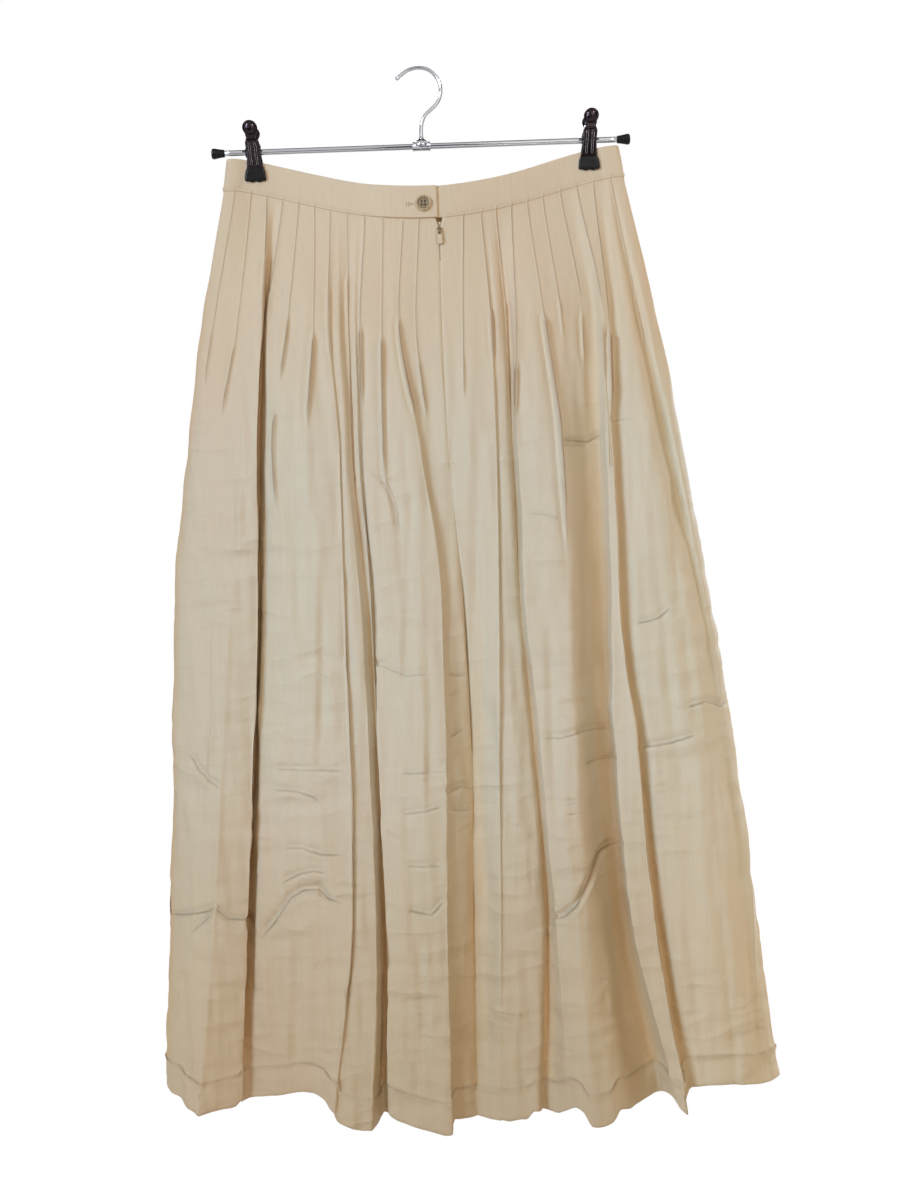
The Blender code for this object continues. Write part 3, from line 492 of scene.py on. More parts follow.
def crumple_height(x, z, shift):
    """Worn cloth: shallow facets that meet in small ridges, more of them lower down."""
    x = x + shift
    total = np.zeros_like(x)
    for wide, tall, slant, rise, seed in CRUMPLES:
        bend = 0.5 * lattice_noise(x / 70, z / 50, seed + 40)
        facet = lattice_noise(x / wide + bend, (z + slant * x) / tall + bend, seed)
        total += rise * (0.35 - np.sqrt(facet * facet + 0.004))
    patches = smooth(0.55 + 0.75 * lattice_noise(x / 90, z / 70, 17))
    return total * (0.25 + 0.75 * patches) * (0.35 + 0.65 * smooth((-z - 330) / 260))


def sunk_depth(grid, side, reach=30.0):
    """How far each point lies behind the cloth's mean surface over the given reach to both sides."""
    steps = np.hypot(np.diff(grid[..., 0], axis=1), np.diff(grid[..., 1], axis=1))
    run = np.concatenate([np.zeros((len(grid), 1)), np.cumsum(steps, axis=1)], axis=1)
    depth = np.zeros(grid.shape[:2])
    for r in range(len(grid)):
        y = grid[r, :, 1]
        total = np.concatenate([[0], np.cumsum((y[1:] + y[:-1]) / 2 * steps[r])])
        low, high = np.maximum(run[r] - reach, 0), np.minimum(run[r] + reach, run[r, -1])
        mean = (np.interp(high, run[r], total) - np.interp(low, run[r], total)) / (high - low)
        depth[r] = (y - mean) * (1 if side < 0 else -1)
    return depth


def cloth_panel(name, lines, crisp, side, columns, rows_t, tucks, shift, mirrored=False):
    lines, first = with_edges(lines, crisp)
    grid, column_of = section(lines, columns, first)
    if side < 0:
        places, rises = zip(*HEM_RISE)
        low = smooth((rows_t - 0.86) / 0.14)[:, None]
        grid[..., 2] += low * through(places, rises, grid[-1, :, 0])[None, :]
    x, z = grid[..., 0], grid[..., 2]
    drop = seam_z(np.clip(x, WAIST_LEFT, WAIST_RIGHT)) - z
    n = normals(grid, side)
    height, ((across_a, rise_a), (across_b, rise_b)) = crease_height(x, z, mirrored)
    height *= smooth(drop / 60)
    tuck_across, tuck_held = np.full_like(x, 30.0), np.zeros_like(x)
    height += ripple_height(x, z, shift) * smooth(drop / 200)
    height += crumple_height(x, z, shift) * smooth((drop - 90) / 160)
    # Painted shade: the crevice mark darkens the cloth's colour in opened slits and along the hem's stitches, and
    # tuck_held darkens it along the tuck lines.
    crevice = np.zeros_like(x)
    for index, sewn_to, step, up, mouths in tucks:
        line = grid[:, column_of[index], 0]
        at_z = z[:, column_of[index]][:, None]
        d = (x - line[:, None]) * (1 if up == "left" else -1)
        held = 1 - smooth((sewn_to + 10 - at_z) / 26)
        rest = 1 - smooth((sewn_to + 60 - at_z) / 200)
        lift = 0.40 * step * (0.5 - smooth(d / 0.8 + 0.5)) * np.exp(-np.abs(d) / 2.6)
        groove = -0.8 * np.exp(-((d / 0.55) ** 2))
        closer = np.abs(d) < np.abs(tuck_across)
        line_held = held
        puff = 0.35 * np.sin(np.clip(np.abs(d) / 15.7, 0, 1) * math.pi) * np.exp(-np.abs(d) / 9)
        height += held * (lift + groove) + 0.5 * rest * puff
        for high, low, deep, wide in mouths:
            opened = smooth((high - at_z) / 14) * smooth((at_z - low) / (0.32 * (high - low)))
            wide = wide * (0.75 + 0.25 * opened)
            slit = -np.exp(-((d / wide) ** 2)) + 0.42 * np.exp(-(((d + 2.1 * wide) / (1.7 * wide)) ** 2))
            height += 0.72 * deep * opened * slit
            # Painted shade down in the opened slit.
            crevice = np.maximum(crevice, 0.55 * opened * np.exp(-((d / (0.5 * wide)) ** 2)) * min(1.0, deep / 4.0))
            line_held = np.maximum(line_held, 1.5 * opened * min(1.0, deep / 4.0))
        tuck_across = np.where(closer, d, tuck_across)
        tuck_held = np.where(closer, line_held, tuck_held)
    # The hem: two layers thick up to its line of stitches, which draws the cloth in a little.
    up = np.linalg.norm(np.diff(grid, axis=0), axis=2)
    from_hem = np.concatenate([np.cumsum(up[::-1], axis=0)[::-1], np.zeros((1, grid.shape[1]))])
    stitch = 0.72 + 0.28 * np.sin(np.cumsum(np.linalg.norm(np.diff(grid, axis=1, prepend=grid[:, :1]), axis=2), axis=1) * 2 * math.pi / 6.5)
    from_hem = from_hem + 1.6 * lattice_noise(x / 30, z / 400, 23)
    height += 0.7 * smooth((HEM_TURN - from_hem) / 3)
    height -= (0.8 + 0.7 * stitch) * np.exp(-(((from_hem - HEM_TURN) / 2.3) ** 2))
    # Painted shade along the stitch line.
    crevice = np.maximum(crevice, 0.08 * np.exp(-(((from_hem - HEM_TURN) / 1.8) ** 2)))
    # The first rows sink under the band's lower edge.
    height -= 0.8 * np.exp(-np.maximum(drop, 0) / 1.0)
    out = grid + n * height[..., None]
    for edge, sign in ((0, 1), (-1, -1)):
        middle = abs(grid[0, edge, 0]) < 60
        if not middle:
            continue
        # The two panels meet at the centre seam, which lies a little below them.
        for j in range(8):
            k = j if edge == 0 else -1 - j
            away = np.linalg.norm(grid[:, k] - grid[:, edge], axis=1)
            share = np.exp(-((away / 1.1) ** 2))[:, None]
            zk = grid[:, k, 2]
            sink = 0.75 + 3.2 * smooth((-455 - zk) / 60) * smooth((zk + 680) / 70)
            flat = grid[:, k] + np.array([0.0, 1.0, 0.0]) * sink[:, None]
            out[:, k] = out[:, k] * (1 - share) + flat * share
    # A mark fades out before another line becomes the nearer one.
    tuck_held = tuck_held * smooth((drop - 0.2) / 1.5) * smooth((6 - np.abs(tuck_across)) / 3)
    rise_a = rise_a * smooth((10 - np.abs(across_a)) / 4)
    rise_b = rise_b * smooth((10 - np.abs(across_b)) / 4)
    marks = {
        "seam_up": np.clip(1 - drop / 6, 0, 1), "sunk": smooth((sunk_depth(grid, side) - 0.5) / 13),
        "crevice": crevice, "tuck_across": tuck_across, "tuck_held": tuck_held,
        "crease_a_across": across_a, "crease_a_rise": rise_a,
        "crease_b_across": across_b, "crease_b_rise": rise_b,
    }
    return finish_panel(name, out, side, marks)


def finish_panel(name, grid, side, marks):
    """Adds the seam allowances and the turned-up hem to a grid, and makes its mesh.

    The marks say where the outer face has a tuck, a crease or a crevice, for its material's bumps and painted shade."""
    n = normals(grid, side)
    # Up into the waistband.
    lip = grid[0] + np.array([0, 0, 3.0]) - n[0] * 0.9
    grid, n = np.concatenate([lip[None], grid]), np.concatenate([n[:1], n])
    # Round the bottom edge and up inside.
    layers = [grid]
    layers.append((grid[-1] - n[-1] * 0.45 - np.array([0, 0, 0.35]))[None])
    depth = np.linalg.norm(np.diff(grid[-16:], axis=0), axis=2).mean()
    steps = max(2, int(round(HEM_TURN / depth)))
    for j in range(0, steps + 1):
        offset = 1.15 if j < steps else 0.5
        layers.append((grid[-1 - j] - n[-1 - j] * (0.9 if j == 0 else offset))[None])
    grid = np.concatenate(layers)
    # Seam allowances at both sides, turned in.
    across = np.gradient(grid, axis=1)
    across /= np.maximum(np.linalg.norm(across, axis=2, keepdims=True), 1e-9)
    inward = np.array([0, 1.0 if side < 0 else -1.0, 0])
    left = [grid[:, 0] + inward * 2.6 + across[:, 0] * 0.5, grid[:, 0] + inward * 0.5 - across[:, 0] * 0.05]
    right = [grid[:, -1] + inward * 0.5 + across[:, -1] * 0.05, grid[:, -1] + inward * 2.6 - across[:, -1] * 0.5]
    if name == "skirt_plain_side":
        left, right = [], []
    parts = [p[:, None] for p in left] + [grid] + [p[:, None] for p in right]
    full = np.concatenate(parts, axis=1)
    obj = mesh_of(name, full, side)
    for mark, values in marks.items():
        whole = np.full(full.shape[:2], 30.0 if mark.endswith("across") else 0.0)
        whole[1 : 1 + values.shape[0], len(left) : len(left) + values.shape[1]] = values
        obj.data.attributes.new(mark, "FLOAT", "POINT").data.foreach_set("value", whole.ravel())
    return obj


def mesh_of(name, grid, side=-1, closed=False):
    rows, cols = grid.shape[:2]
    index = np.arange(rows * cols).reshape(rows, cols)
    if closed:
        index = np.concatenate([index, index[:, :1]], axis=1)
    a, b, c, d = index[:-1, :-1], index[1:, :-1], index[1:, 1:], index[:-1, 1:]
    quads = np.stack([a, b, c, d] if side < 0 else [a, d, c, b], axis=-1).reshape(-1, 4)
    mesh = bpy.data.meshes.new(name)
    mesh.from_pydata((grid.reshape(-1, 3) * MM).tolist(), [], quads.tolist())
    mesh.update()
    mesh.shade_smooth()
    obj = bpy.data.objects.new(name, mesh)
    bpy.context.scene.collection.objects.link(obj)
    return obj


# ------------------------------------------------------------------ materials
class Nodes:
    """A short way to write a node tree."""

    def __init__(self, name):
        self.material = bpy.data.materials.new(name)
        self.material.use_nodes = True
        self.tree = self.material.node_tree
        self.shader = self.tree.nodes["Principled BSDF"]
        self.place = self.add("ShaderNodeTexCoord").outputs["Object"]

    def add(self, kind, inputs=(), **settings):
        node = self.tree.nodes.new(kind)
        for key, value in settings.items():
            setattr(node, key, value)
        for key, value in dict(inputs).items():
            self.set(node.inputs[key], value)
        return node

    def set(self, socket, value):
        if isinstance(value, bpy.types.NodeSocket):
            self.tree.links.new(value, socket)
        else:
            socket.default_value = value

    def scaled(self, scale, place=None):
        return self.add("ShaderNodeMapping", {"Vector": place or self.place, "Scale": scale}).outputs["Vector"]

    def noise(self, place, scale=1.0, detail=4.0, roughness=0.55):
        return self.add("ShaderNodeTexNoise", {"Vector": place, "Scale": scale, "Detail": detail, "Roughness": roughness}).outputs["Fac"]

    def math(self, operation, a, b=0.0, c=0.0):
        node = self.add("ShaderNodeMath", operation=operation)
        for socket, value in zip(node.inputs, (a, b, c)):
            self.set(socket, value)
        return node.outputs[0]

    def ramp(self, fac, stops):
        node = self.add("ShaderNodeValToRGB", {"Fac": fac})
        bar = node.color_ramp
        while len(bar.elements) < len(stops):
            bar.elements.new(0.5)
        for element, (place, colour) in zip(bar.elements, stops):
            element.position, element.color = place, (*colour, 1.0)
        return node.outputs["Color"]

    def mix(self, fac, a, b, kind="MIX"):
        node = self.add("ShaderNodeMix", data_type="RGBA", blend_type=kind)
        self.set(node.inputs[0], fac)
        self.set(node.inputs[6], a if isinstance(a, bpy.types.NodeSocket) else (*a, 1.0))
        self.set(node.inputs[7], b if isinstance(b, bpy.types.NodeSocket) else (*b, 1.0))
        return node.outputs[2]

    def bump(self, height, strength, distance, normal=None):
        inputs = {"Height": height, "Strength": strength, "Distance": distance}
        if normal:
            inputs["Normal"] = normal
        return self.add("ShaderNodeBump", inputs).outputs["Normal"]


CREAM = (0.752, 0.662, 0.512)
CREAM_PINK = (0.764, 0.658, 0.510)
CREAM_GREEN = (0.742, 0.662, 0.510)
# Painted shade: the brown mixed into the cloth's colour down in grooves, slits and seams.
CREVICE_SHADE_BROWN = (0.33, 0.185, 0.082)


def cloth_material():
    """Smooth viscose-like weave: fine threads, upright slubs, slow drifts of tone, worn creases; with painted light
    and shade by height and across, a painted warmer bounce in the folds and painted shade along grooves.
    """
    m = Nodes("cream_viscose")

    def mark(name):
        return m.add("ShaderNodeAttribute", attribute_name=name).outputs["Fac"]

    def peak(value, middle, width, kind="sharp"):
        """1 at the middle, falling off to both sides."""
        away = m.math("ABSOLUTE", m.math("DIVIDE", m.math("SUBTRACT", value, middle), width))
        away = away if kind == "sharp" else m.math("MULTIPLY", away, away)
        return m.math("EXPONENT", m.math("MULTIPLY", away, -1.0))

    slow = m.noise(m.scaled((9, 9, 4)), 1.0, 2.0)
    tone = m.ramp(slow, ((0.36, CREAM_GREEN), (0.5, CREAM), (0.64, CREAM_PINK)))
    streak = m.noise(m.scaled((420, 420, 14)), 1.0, 3.0, 0.6)
    slub = m.noise(m.scaled((1500, 1500, 60)), 1.0, 2.0, 0.7)
    shade = m.math("ADD", m.math("MULTIPLY", m.math("SUBTRACT", streak, 0.5), 0.10), m.math("MULTIPLY", m.math("SUBTRACT", slub, 0.5), 0.07))
    lit = m.math("ADD", shade, 1.0)
    grey = m.add("ShaderNodeCombineColor", {"Red": lit, "Green": lit, "Blue": lit}).outputs["Color"]
    cream = m.mix(1.0, tone, grey, "MULTIPLY")
    # Painted light by height: paler and cooler over the middle, and a darker, warmer painted shade at the hem.
    spot = m.add("ShaderNodeSeparateXYZ", {"Vector": m.place})
    down = spot.outputs["Z"]
    share = m.add("ShaderNodeMapRange", {"Value": down, "From Min": -1.0, "From Max": -0.1}).outputs["Result"]
    painted_height_light = ((0.0, (0.92, 0.91, 0.885)), (0.16, (0.95, 0.955, 0.955)), (0.36, (0.96, 1.01, 1.09)), (0.70, (0.955, 1.015, 1.115)), (0.84, (0.985, 0.975, 1.01)), (1.0, (0.995, 0.985, 1.015)))
    cream = m.mix(1.0, cream, m.ramp(share, painted_height_light), "MULTIPLY")
    # Painted light across: darker and warmer at the flap's side, paler at the right side.
    across = m.add("ShaderNodeMapRange", {"Value": spot.outputs["X"], "From Min": -0.30, "From Max": 0.32}).outputs["Result"]
    sides = ((0.06, (0.975, 0.935, 0.895)), (0.18, (0.975, 0.94, 0.905)), (0.27, (1.0, 1.0, 1.0)), (0.72, (1.0, 1.0, 1.0)), (0.86, (1.04, 1.07, 1.06)), (1.0, (1.05, 1.09, 1.08)))
    cream = m.mix(1.0, cream, m.ramp(across, sides), "MULTIPLY")
    # Painted shade: darker towards the hem over the lower middle, less at the right side and down in the sunk folds.
    painted_low_shade = ((0.02, (0.88, 0.825, 0.765)), (0.12, (0.89, 0.85, 0.79)), (0.22, (0.92, 0.895, 0.86)), (0.34, (0.98, 0.975, 0.965)), (0.42, (1.0, 1.0, 1.0)))
    middle = m.ramp(across, ((0.10, (0.5, 0.5, 0.5)), (0.23, (0.95, 0.95, 0.95)), (0.76, (1.0, 1.0, 1.0)), (0.86, (0.0, 0.0, 0.0))))
    proud = m.math("SUBTRACT", 1.0, m.math("MULTIPLY", mark("sunk"), 0.9))
    cream = m.mix(m.math("MULTIPLY", middle, proud), cream, m.mix(1.0, cream, m.ramp(share, painted_low_shade), "MULTIPLY"))

    # Light comes back warmer from cloth that faces cloth, down in the folds.
    golden = m.mix(1.0, cream, (0.99, 0.79, 0.55), "MULTIPLY")
    cream = m.mix(m.math("MULTIPLY", mark("sunk"), 0.8), cream, golden)

    # Where a tuck is sewn, a crease pressed or a fold opens: bumps, and a painted shade mixed into the colour along
    # the tuck lines, the creases' feet, the opened slits, the hem's stitches and the waist seam.
    tuck = m.math("MULTIPLY", peak(mark("tuck_across"), 0.0, 0.40, "soft"), mark("tuck_held"))
    pressed, dark = 0.0, 0.0
    for name in ("crease_a_", "crease_b_"):
        crease, rise = mark(name + "across"), mark(name + "rise")
        shape = m.math("SUBTRACT", peak(crease, 1.5, 1.6, "soft"), m.math("MULTIPLY", peak(crease, -1.2, 1.6, "soft"), 0.35))
        pressed = m.math("ADD", pressed, m.math("MULTIPLY", shape, rise))
        # Painted shade: a thin dark line at the crease's foot.
        dark = m.math("ADD", dark, m.math("MULTIPLY", m.math("MULTIPLY", peak(crease, -0.1, 0.55), rise), 0.24))
    # Painted shade: a dark line just under the waistband's lower edge.
    seam = m.math("MULTIPLY", peak(mark("seam_up"), 0.955, 0.06, "soft"), 0.62)
    dark = m.math("MAXIMUM", m.math("MAXIMUM", mark("crevice"), m.math("MULTIPLY", tuck, 0.60)), dark)
    dark = m.math("MAXIMUM", dark, seam)
    m.set(m.shader.inputs["Base Color"], m.mix(dark, cream, CREVICE_SHADE_BROWN))

    warp = m.add("ShaderNodeTexWave", {"Vector": m.place, "Scale": 560.0, "Distortion": 0.6, "Detail": 1.0}, bands_direction="X").outputs["Fac"]
    weft = m.add("ShaderNodeTexWave", {"Vector": m.place, "Scale": 520.0, "Distortion": 0.6, "Detail": 1.0}, bands_direction="Z").outputs["Fac"]
    weave = m.math("MULTIPLY", m.math("ADD", warp, weft), 0.5)

    # Small worn creases: ridges where slow noises cross their middle. Fewer near the band.
    lower = m.add("ShaderNodeMapRange", {"Value": down, "From Min": -0.16, "From Max": -0.48, "To Min": 0.12, "To Max": 1.0}).outputs["Result"]
    patches = m.math("ADD", m.math("MULTIPLY", m.noise(m.scaled((8, 8, 8)), 1.0, 1.0), 1.8), -0.4)
    worn = m.math("MULTIPLY", lower, m.math("MAXIMUM", patches, 0.15))
    folds = None
    for size, detail, high in (((16, 16, 40), 1.5, 12.0), ((40, 40, 90), 2.0, 2.4), ((110, 110, 150), 2.0, 0.6), ((75, 75, 13), 1.0, 2.6)):
        ridge = m.math("ABSOLUTE", m.math("SUBTRACT", m.noise(m.scaled(size), 1.0, detail, 0.4), 0.5))
        ridge = m.math("MULTIPLY", ridge, -high)
        folds = ridge if folds is None else m.math("ADD", folds, ridge)
    soft = m.noise(m.scaled((160, 160, 45)), 1.0, 4.0, 0.6)
    n = m.bump(m.math("MULTIPLY", folds, worn), 1.0, 0.001)
    n = m.bump(m.math("SUBTRACT", m.math("MULTIPLY", pressed, 0.60), m.math("MULTIPLY", tuck, 0.30)), 1.0, 0.001, n)
    n = m.bump(soft, 0.34, 0.0006, n)
    n = m.bump(slub, 0.10, 0.0003, n)
    n = m.bump(weave, 0.07, 0.00012, n)
    m.set(m.shader.inputs["Normal"], n)
    rough = m.math("ADD", m.math("MULTIPLY", streak, 0.12), 0.58)
    m.set(m.shader.inputs["Roughness"], rough)
    m.shader.inputs["Specular IOR Level"].default_value = 0.18
    m.shader.inputs["Sheen Weight"].default_value = 0.06
    m.shader.inputs["Sheen Roughness"].default_value = 0.5
    m.shader.inputs["Sheen Tint"].default_value = (1.0, 0.93, 0.82, 1.0)
    return m.material


# ------------------------------------------------------------------ the garment
CLOTH = cloth_material()


def dress(obj, node, material):
    obj.data.materials.clear()
    obj.data.materials.append(material)
    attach(obj, "pull_tab" if node == "zip_pull" else "root")
    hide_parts(node)
    return obj


def tucks_of(rows, offset):
    names = [row[0] for row in rows]
    return [(names.index(t[0]) + (offset if names.index(t[0]) > 0 else 0), *t[1:]) for t in TUCKS if t[0] in names]


ROWS = np.linspace(0.0, 1.0, 335)
left_lines, left_crisp = near_lines(NEAR_LEFT, ROWS)
right_lines, right_crisp = near_lines(NEAR_RIGHT, ROWS)


def zip_opening(lines, edge, side):
    """Above the slider the panel's centre edge draws back in a short V."""
    line = lines[edge]
    drop = line[0, 2] - line[:, 2]
    line[:, 0] += side * 3.2 * np.clip(1 - drop / 9.5, 0, 1)
    lines[edge] = line
    return lines


left_lines = zip_opening(left_lines, -1, -1)
right_lines = zip_opening(right_lines, 0, 1)
panel_left = cloth_panel("skirt_zip_side_left", left_lines, left_crisp, -1, 262, ROWS, tucks_of(NEAR_LEFT, 1), 0.0)
panel_right = cloth_panel("skirt_zip_side_right", right_lines, right_crisp, -1, 262, ROWS, tucks_of(NEAR_RIGHT, 0), 41.0)
dress(panel_left, "panel_zip_left", CLOTH)
dress(panel_right, "panel_zip_right", CLOTH)

far_grid_lines, far_crisp = far_lines(ROWS)
far_tucks = []
for k in range(10):
    sewn = -232 - 9 * (k * 7 % 5)
    far_tucks.append((3 + 5 * k, sewn, 0.7, "left" if k < 5 else "right", ((sewn - 4, sewn - 60, 2.0, 1.0),)))
panel_far = cloth_panel("skirt_plain_side", far_grid_lines, far_crisp, 1, 270, ROWS, far_tucks, 97.0, True)
dress(panel_far, "panel_plain", CLOTH)


def band_points():
    half = (0, 12, 36, 58, 78, 96, 112, 126, 138, 149, 160, 171.5, 177)
    whole = [-x for x in half[:0:-1]] + list(half)
    lap = [0, -12, UNDERLAP_X - 4] + [x for x in whole[::-1] if x < UNDERLAP_X - 6]
    under = [x for x in whole[::-1] if x > UNDERLAP_X + 4]
    path = [(x, -float(waist_stand(x) + LAP_PROUD * smooth((x + 64) / 36))) for x in [LAP_END_X] + lap]
    turn = [(-183, -3.0), (-187.5, -2.1), (-189, 0.0), (-187.5, 2.1), (-183, 3.0)]
    path += turn + [(x, float(waist_stand(x))) for x in whole] + [(-x + 3, -y) for x, y in turn]
    return path + [(x, -float(waist_stand(x))) for x in under + [UNDERLAP_X]]


def spline(points, per):
    """A centripetal spline through points, about `per` mm between samples."""
    p = np.array(points, float)
    p = np.concatenate([[2 * p[0] - p[1]], p, [2 * p[-1] - p[-2]]])
    out = []
    for k in range(1, len(p) - 2):
        p0, p1, p2, p3 = p[k - 1 : k + 3]
        t0, t1 = 0.0, math.dist(p0, p1) ** 0.5
        t2 = t1 + math.dist(p1, p2) ** 0.5
        t3 = t2 + math.dist(p2, p3) ** 0.5
        for u in np.arange(0, 1, 1.0 / max(1, round(math.dist(p1, p2) / per))):
            t = t1 + (t2 - t1) * u
            a1 = (t1 - t) / (t1 - t0) * p0 + (t - t0) / (t1 - t0) * p1
            a2 = (t2 - t) / (t2 - t1) * p1 + (t - t1) / (t2 - t1) * p2
            a3 = (t3 - t) / (t3 - t2) * p2 + (t - t2) / (t3 - t2) * p3
            b1 = (t2 - t) / (t2 - t0) * a1 + (t - t0) / (t2 - t0) * a2
            b2 = (t3 - t) / (t3 - t1) * a2 + (t - t1) / (t3 - t1) * a3
            out.append((t2 - t) / (t2 - t1) * b1 + (t - t1) / (t2 - t1) * b2)
    out.append(p[-2])
    return np.array(out)


def build_band():
    """The waistband: one folded strip round the waist, its left end lapped over the right."""
    path = spline(band_points(), 1.5)
    along = np.gradient(path, axis=0)
    along /= np.linalg.norm(along, axis=1, keepdims=True)
    out = np.stack([along[:, 1], -along[:, 0]], 1)  # to the outside of the loop
    out *= -1 if np.dot(out[4], (0, -1)) < 0 else 1
    half, tall = BAND_WALL / 2, BAND_TALL
    ring = []  # (outwards, up from the seam)
    for u in np.linspace(0.6, tall - 1.3, 17):
        ring.append((half, u))
    for a in np.linspace(15, 165, 7):
        ring.append((half * math.cos(math.radians(a)), tall - 1.3 + 1.3 * math.sin(math.radians(a))))
    for u in np.linspace(tall - 1.3, 0.6, 17):
        ring.append((-half, u))
    for a in np.linspace(200, 340, 5):
        ring.append((half * math.cos(math.radians(a)), 0.6 + 0.6 * math.sin(math.radians(a))))
    count = len(path)
    run = np.concatenate([[0], np.cumsum(np.linalg.norm(np.diff(path, axis=0), axis=1))])
    grid = np.zeros((count, len(ring), 3))
    for j, (o, u) in enumerate(ring):
        belly = 0.35 * math.sin(math.pi * u / tall)
        wave = 0.22 * np.sin(run * 0.043 + 0.9) + 0.16 * np.sin(run * 0.11 + u * 0.09) + 0.10 * np.sin(run * 0.31 - u * 0.2)
        wave *= math.sin(math.pi * min(1, max(0, u / tall)))
        pinch = sum(np.exp(-(((np.abs(path[:, 0]) - CLIP_X - s) / 5.0) ** 2)) for s in (-16, 16)) * 0.5
        off = o + (belly + wave * (1 - pinch)) * (1 if o > 0 else 0.0) * 0.8
        p = path + out * off[:, None]
        squeeze = 1 - BAND_IN / 190 * (u / tall)
        grid[:, j, 0] = 1.5 + (p[:, 0] - 1.5) * squeeze
        grid[:, j, 1] = p[:, 1]
        grid[:, j, 2] = seam_z(np.clip(path[:, 0], WAIST_LEFT, WAIST_RIGHT)) + u + 0.18 * np.sin(run * 0.07) * (u / tall)
    obj = mesh_of("skirt_waistband", grid, -1, closed=True)
    bm = bmesh.new()
    bm.from_mesh(obj.data)
    bmesh.ops.holes_fill(bm, edges=[e for e in bm.edges if e.is_boundary], sides=0)
    bmesh.ops.recalc_face_normals(bm, faces=bm.faces)
    bm.to_mesh(obj.data)
    bm.free()
    obj.data.shade_smooth()
    obj.data.set_sharp_from_angle(angle=math.radians(60))
    return obj


band = dress(build_band(), "waistband", CLOTH)


# ------------------------------------------------------------------ trims and hanger
def object_from(name, rings, cap=True):
    """A closed piece through rings of points, with a fan over each end."""
    grid = np.array(rings, float)
    obj = mesh_of(name, grid, -1, closed=True)
    bm = bmesh.new()
    bm.from_mesh(obj.data)
    if cap:
        bmesh.ops.holes_fill(bm, edges=[e for e in bm.edges if e.is_boundary], sides=0)
    bmesh.ops.remove_doubles(bm, verts=bm.verts, dist=1e-7)
    bmesh.ops.recalc_face_normals(bm, faces=bm.faces)
    bm.to_mesh(obj.data)
    bm.free()
    return shaded(obj)


def shaded(obj, angle=45):
    obj.data.shade_smooth()
    obj.data.set_sharp_from_angle(angle=math.radians(angle))
    return obj


def joined(name, objects):
    """Several meshes as one piece."""
    bm = bmesh.new()
    for obj in objects:
        bm.from_mesh(obj.data)
    mesh = bpy.data.meshes.new(name)
    bm.to_mesh(mesh)
    bm.free()
    for obj in objects:
        bpy.data.objects.remove(obj, do_unlink=True)
    made = bpy.data.objects.new(name, mesh)
    bpy.context.scene.collection.objects.link(made)
    return shaded(made)


def tube(name, points, radius, around=14, flat=1.0):
    """A round wire along points; the radius may be a list; flat squashes it crosswise."""
    p = np.array(points, float)
    r = np.broadcast_to(np.asarray(radius, float), (len(p),))
    along = np.gradient(p, axis=0)
    along /= np.linalg.norm(along, axis=1, keepdims=True)
    first = np.array([0.0, 1.0, 0.0]) if abs(along[0][1]) < 0.9 else np.array([1.0, 0.0, 0.0])
    rings, side = [], first
    for k in range(len(p)):
        side = side - along[k] * side.dot(along[k])
        side /= np.linalg.norm(side)
        other = np.cross(along[k], side)
        a = np.arange(around) * 2 * math.pi / around
        rings.append(p[k] + r[k] * (np.cos(a)[:, None] * side + flat * np.sin(a)[:, None] * other))
    return object_from(name, rings)


def turned(name, profile, centre, axis, steps=40):
    """A turned piece: profile rows are (along the axis, radius)."""
    rings = []
    for along, radius in profile:
        ring = []
        for k in range(steps):
            a = 2 * math.pi * k / steps
            c, s = radius * math.cos(a), radius * math.sin(a)
            ring.append({"X": (along, c, s), "Y": (c, along, s), "Z": (c, s, along)}[axis])
        rings.append(np.array(ring) + np.array(centre))
    return object_from(name, rings)


def simple_material(name, colour, roughness, metallic=0.0, **sockets):
    m = Nodes(name)
    fine = m.noise(m.scaled((900, 900, 900)), 1.0, 3.0)
    spread = sockets.pop("spread", 0.06)
    tone = m.math("ADD", m.math("MULTIPLY", m.math("SUBTRACT", fine, 0.5), spread * 2), 1.0)
    grey = m.add("ShaderNodeCombineColor", {"Red": tone, "Green": tone, "Blue": tone}).outputs["Color"]
    m.set(m.shader.inputs["Base Color"], m.mix(1.0, colour, grey, "MULTIPLY"))
    m.set(m.shader.inputs["Roughness"], m.math("ADD", m.math("MULTIPLY", fine, 0.06), roughness - 0.03))
    m.shader.inputs["Metallic"].default_value = metallic
    bumps = sockets.pop("bumps", 0.0)
    if bumps:
        m.set(m.shader.inputs["Normal"], m.bump(fine, bumps, 0.0003))
    for key, value in sockets.items():
        m.shader.inputs[key.replace("_", " ")].default_value = value
    return m.material


CHROME = simple_material("chrome", (0.46, 0.46, 0.49), 0.07, 1.0, spread=0.02)
NICKEL = simple_material("black_nickel", (0.030, 0.022, 0.025), 0.12, 1.0, spread=0.1)
# Painted highlight: a lighter metal for lines along the clip's ribs.
RIB_HIGHLIGHT_EDGE = simple_material("rib_edge_painted_highlight", (0.20, 0.175, 0.155), 0.35, 0.6)
RUBBER = simple_material("black_rubber", (0.006, 0.006, 0.007), 0.30, 0.0, bumps=0.08, Specular_IOR_Level=0.14)
TAPE = simple_material("zip_tape", (0.80, 0.71, 0.54), 0.85, 0.0, bumps=0.5)
BRONZE = simple_material("zip_teeth", (0.16, 0.105, 0.055), 0.45, 0.6)
PULL = simple_material("zip_pull_enamel", (0.53, 0.44, 0.31), 0.34, 0.35)
THREAD = simple_material("cream_thread", (0.42, 0.34, 0.23), 0.75, 0.0, bumps=0.6)
SEAM_THREAD = simple_material("buttonhole_thread", (0.47, 0.385, 0.27), 0.8, 0.0, bumps=0.6)


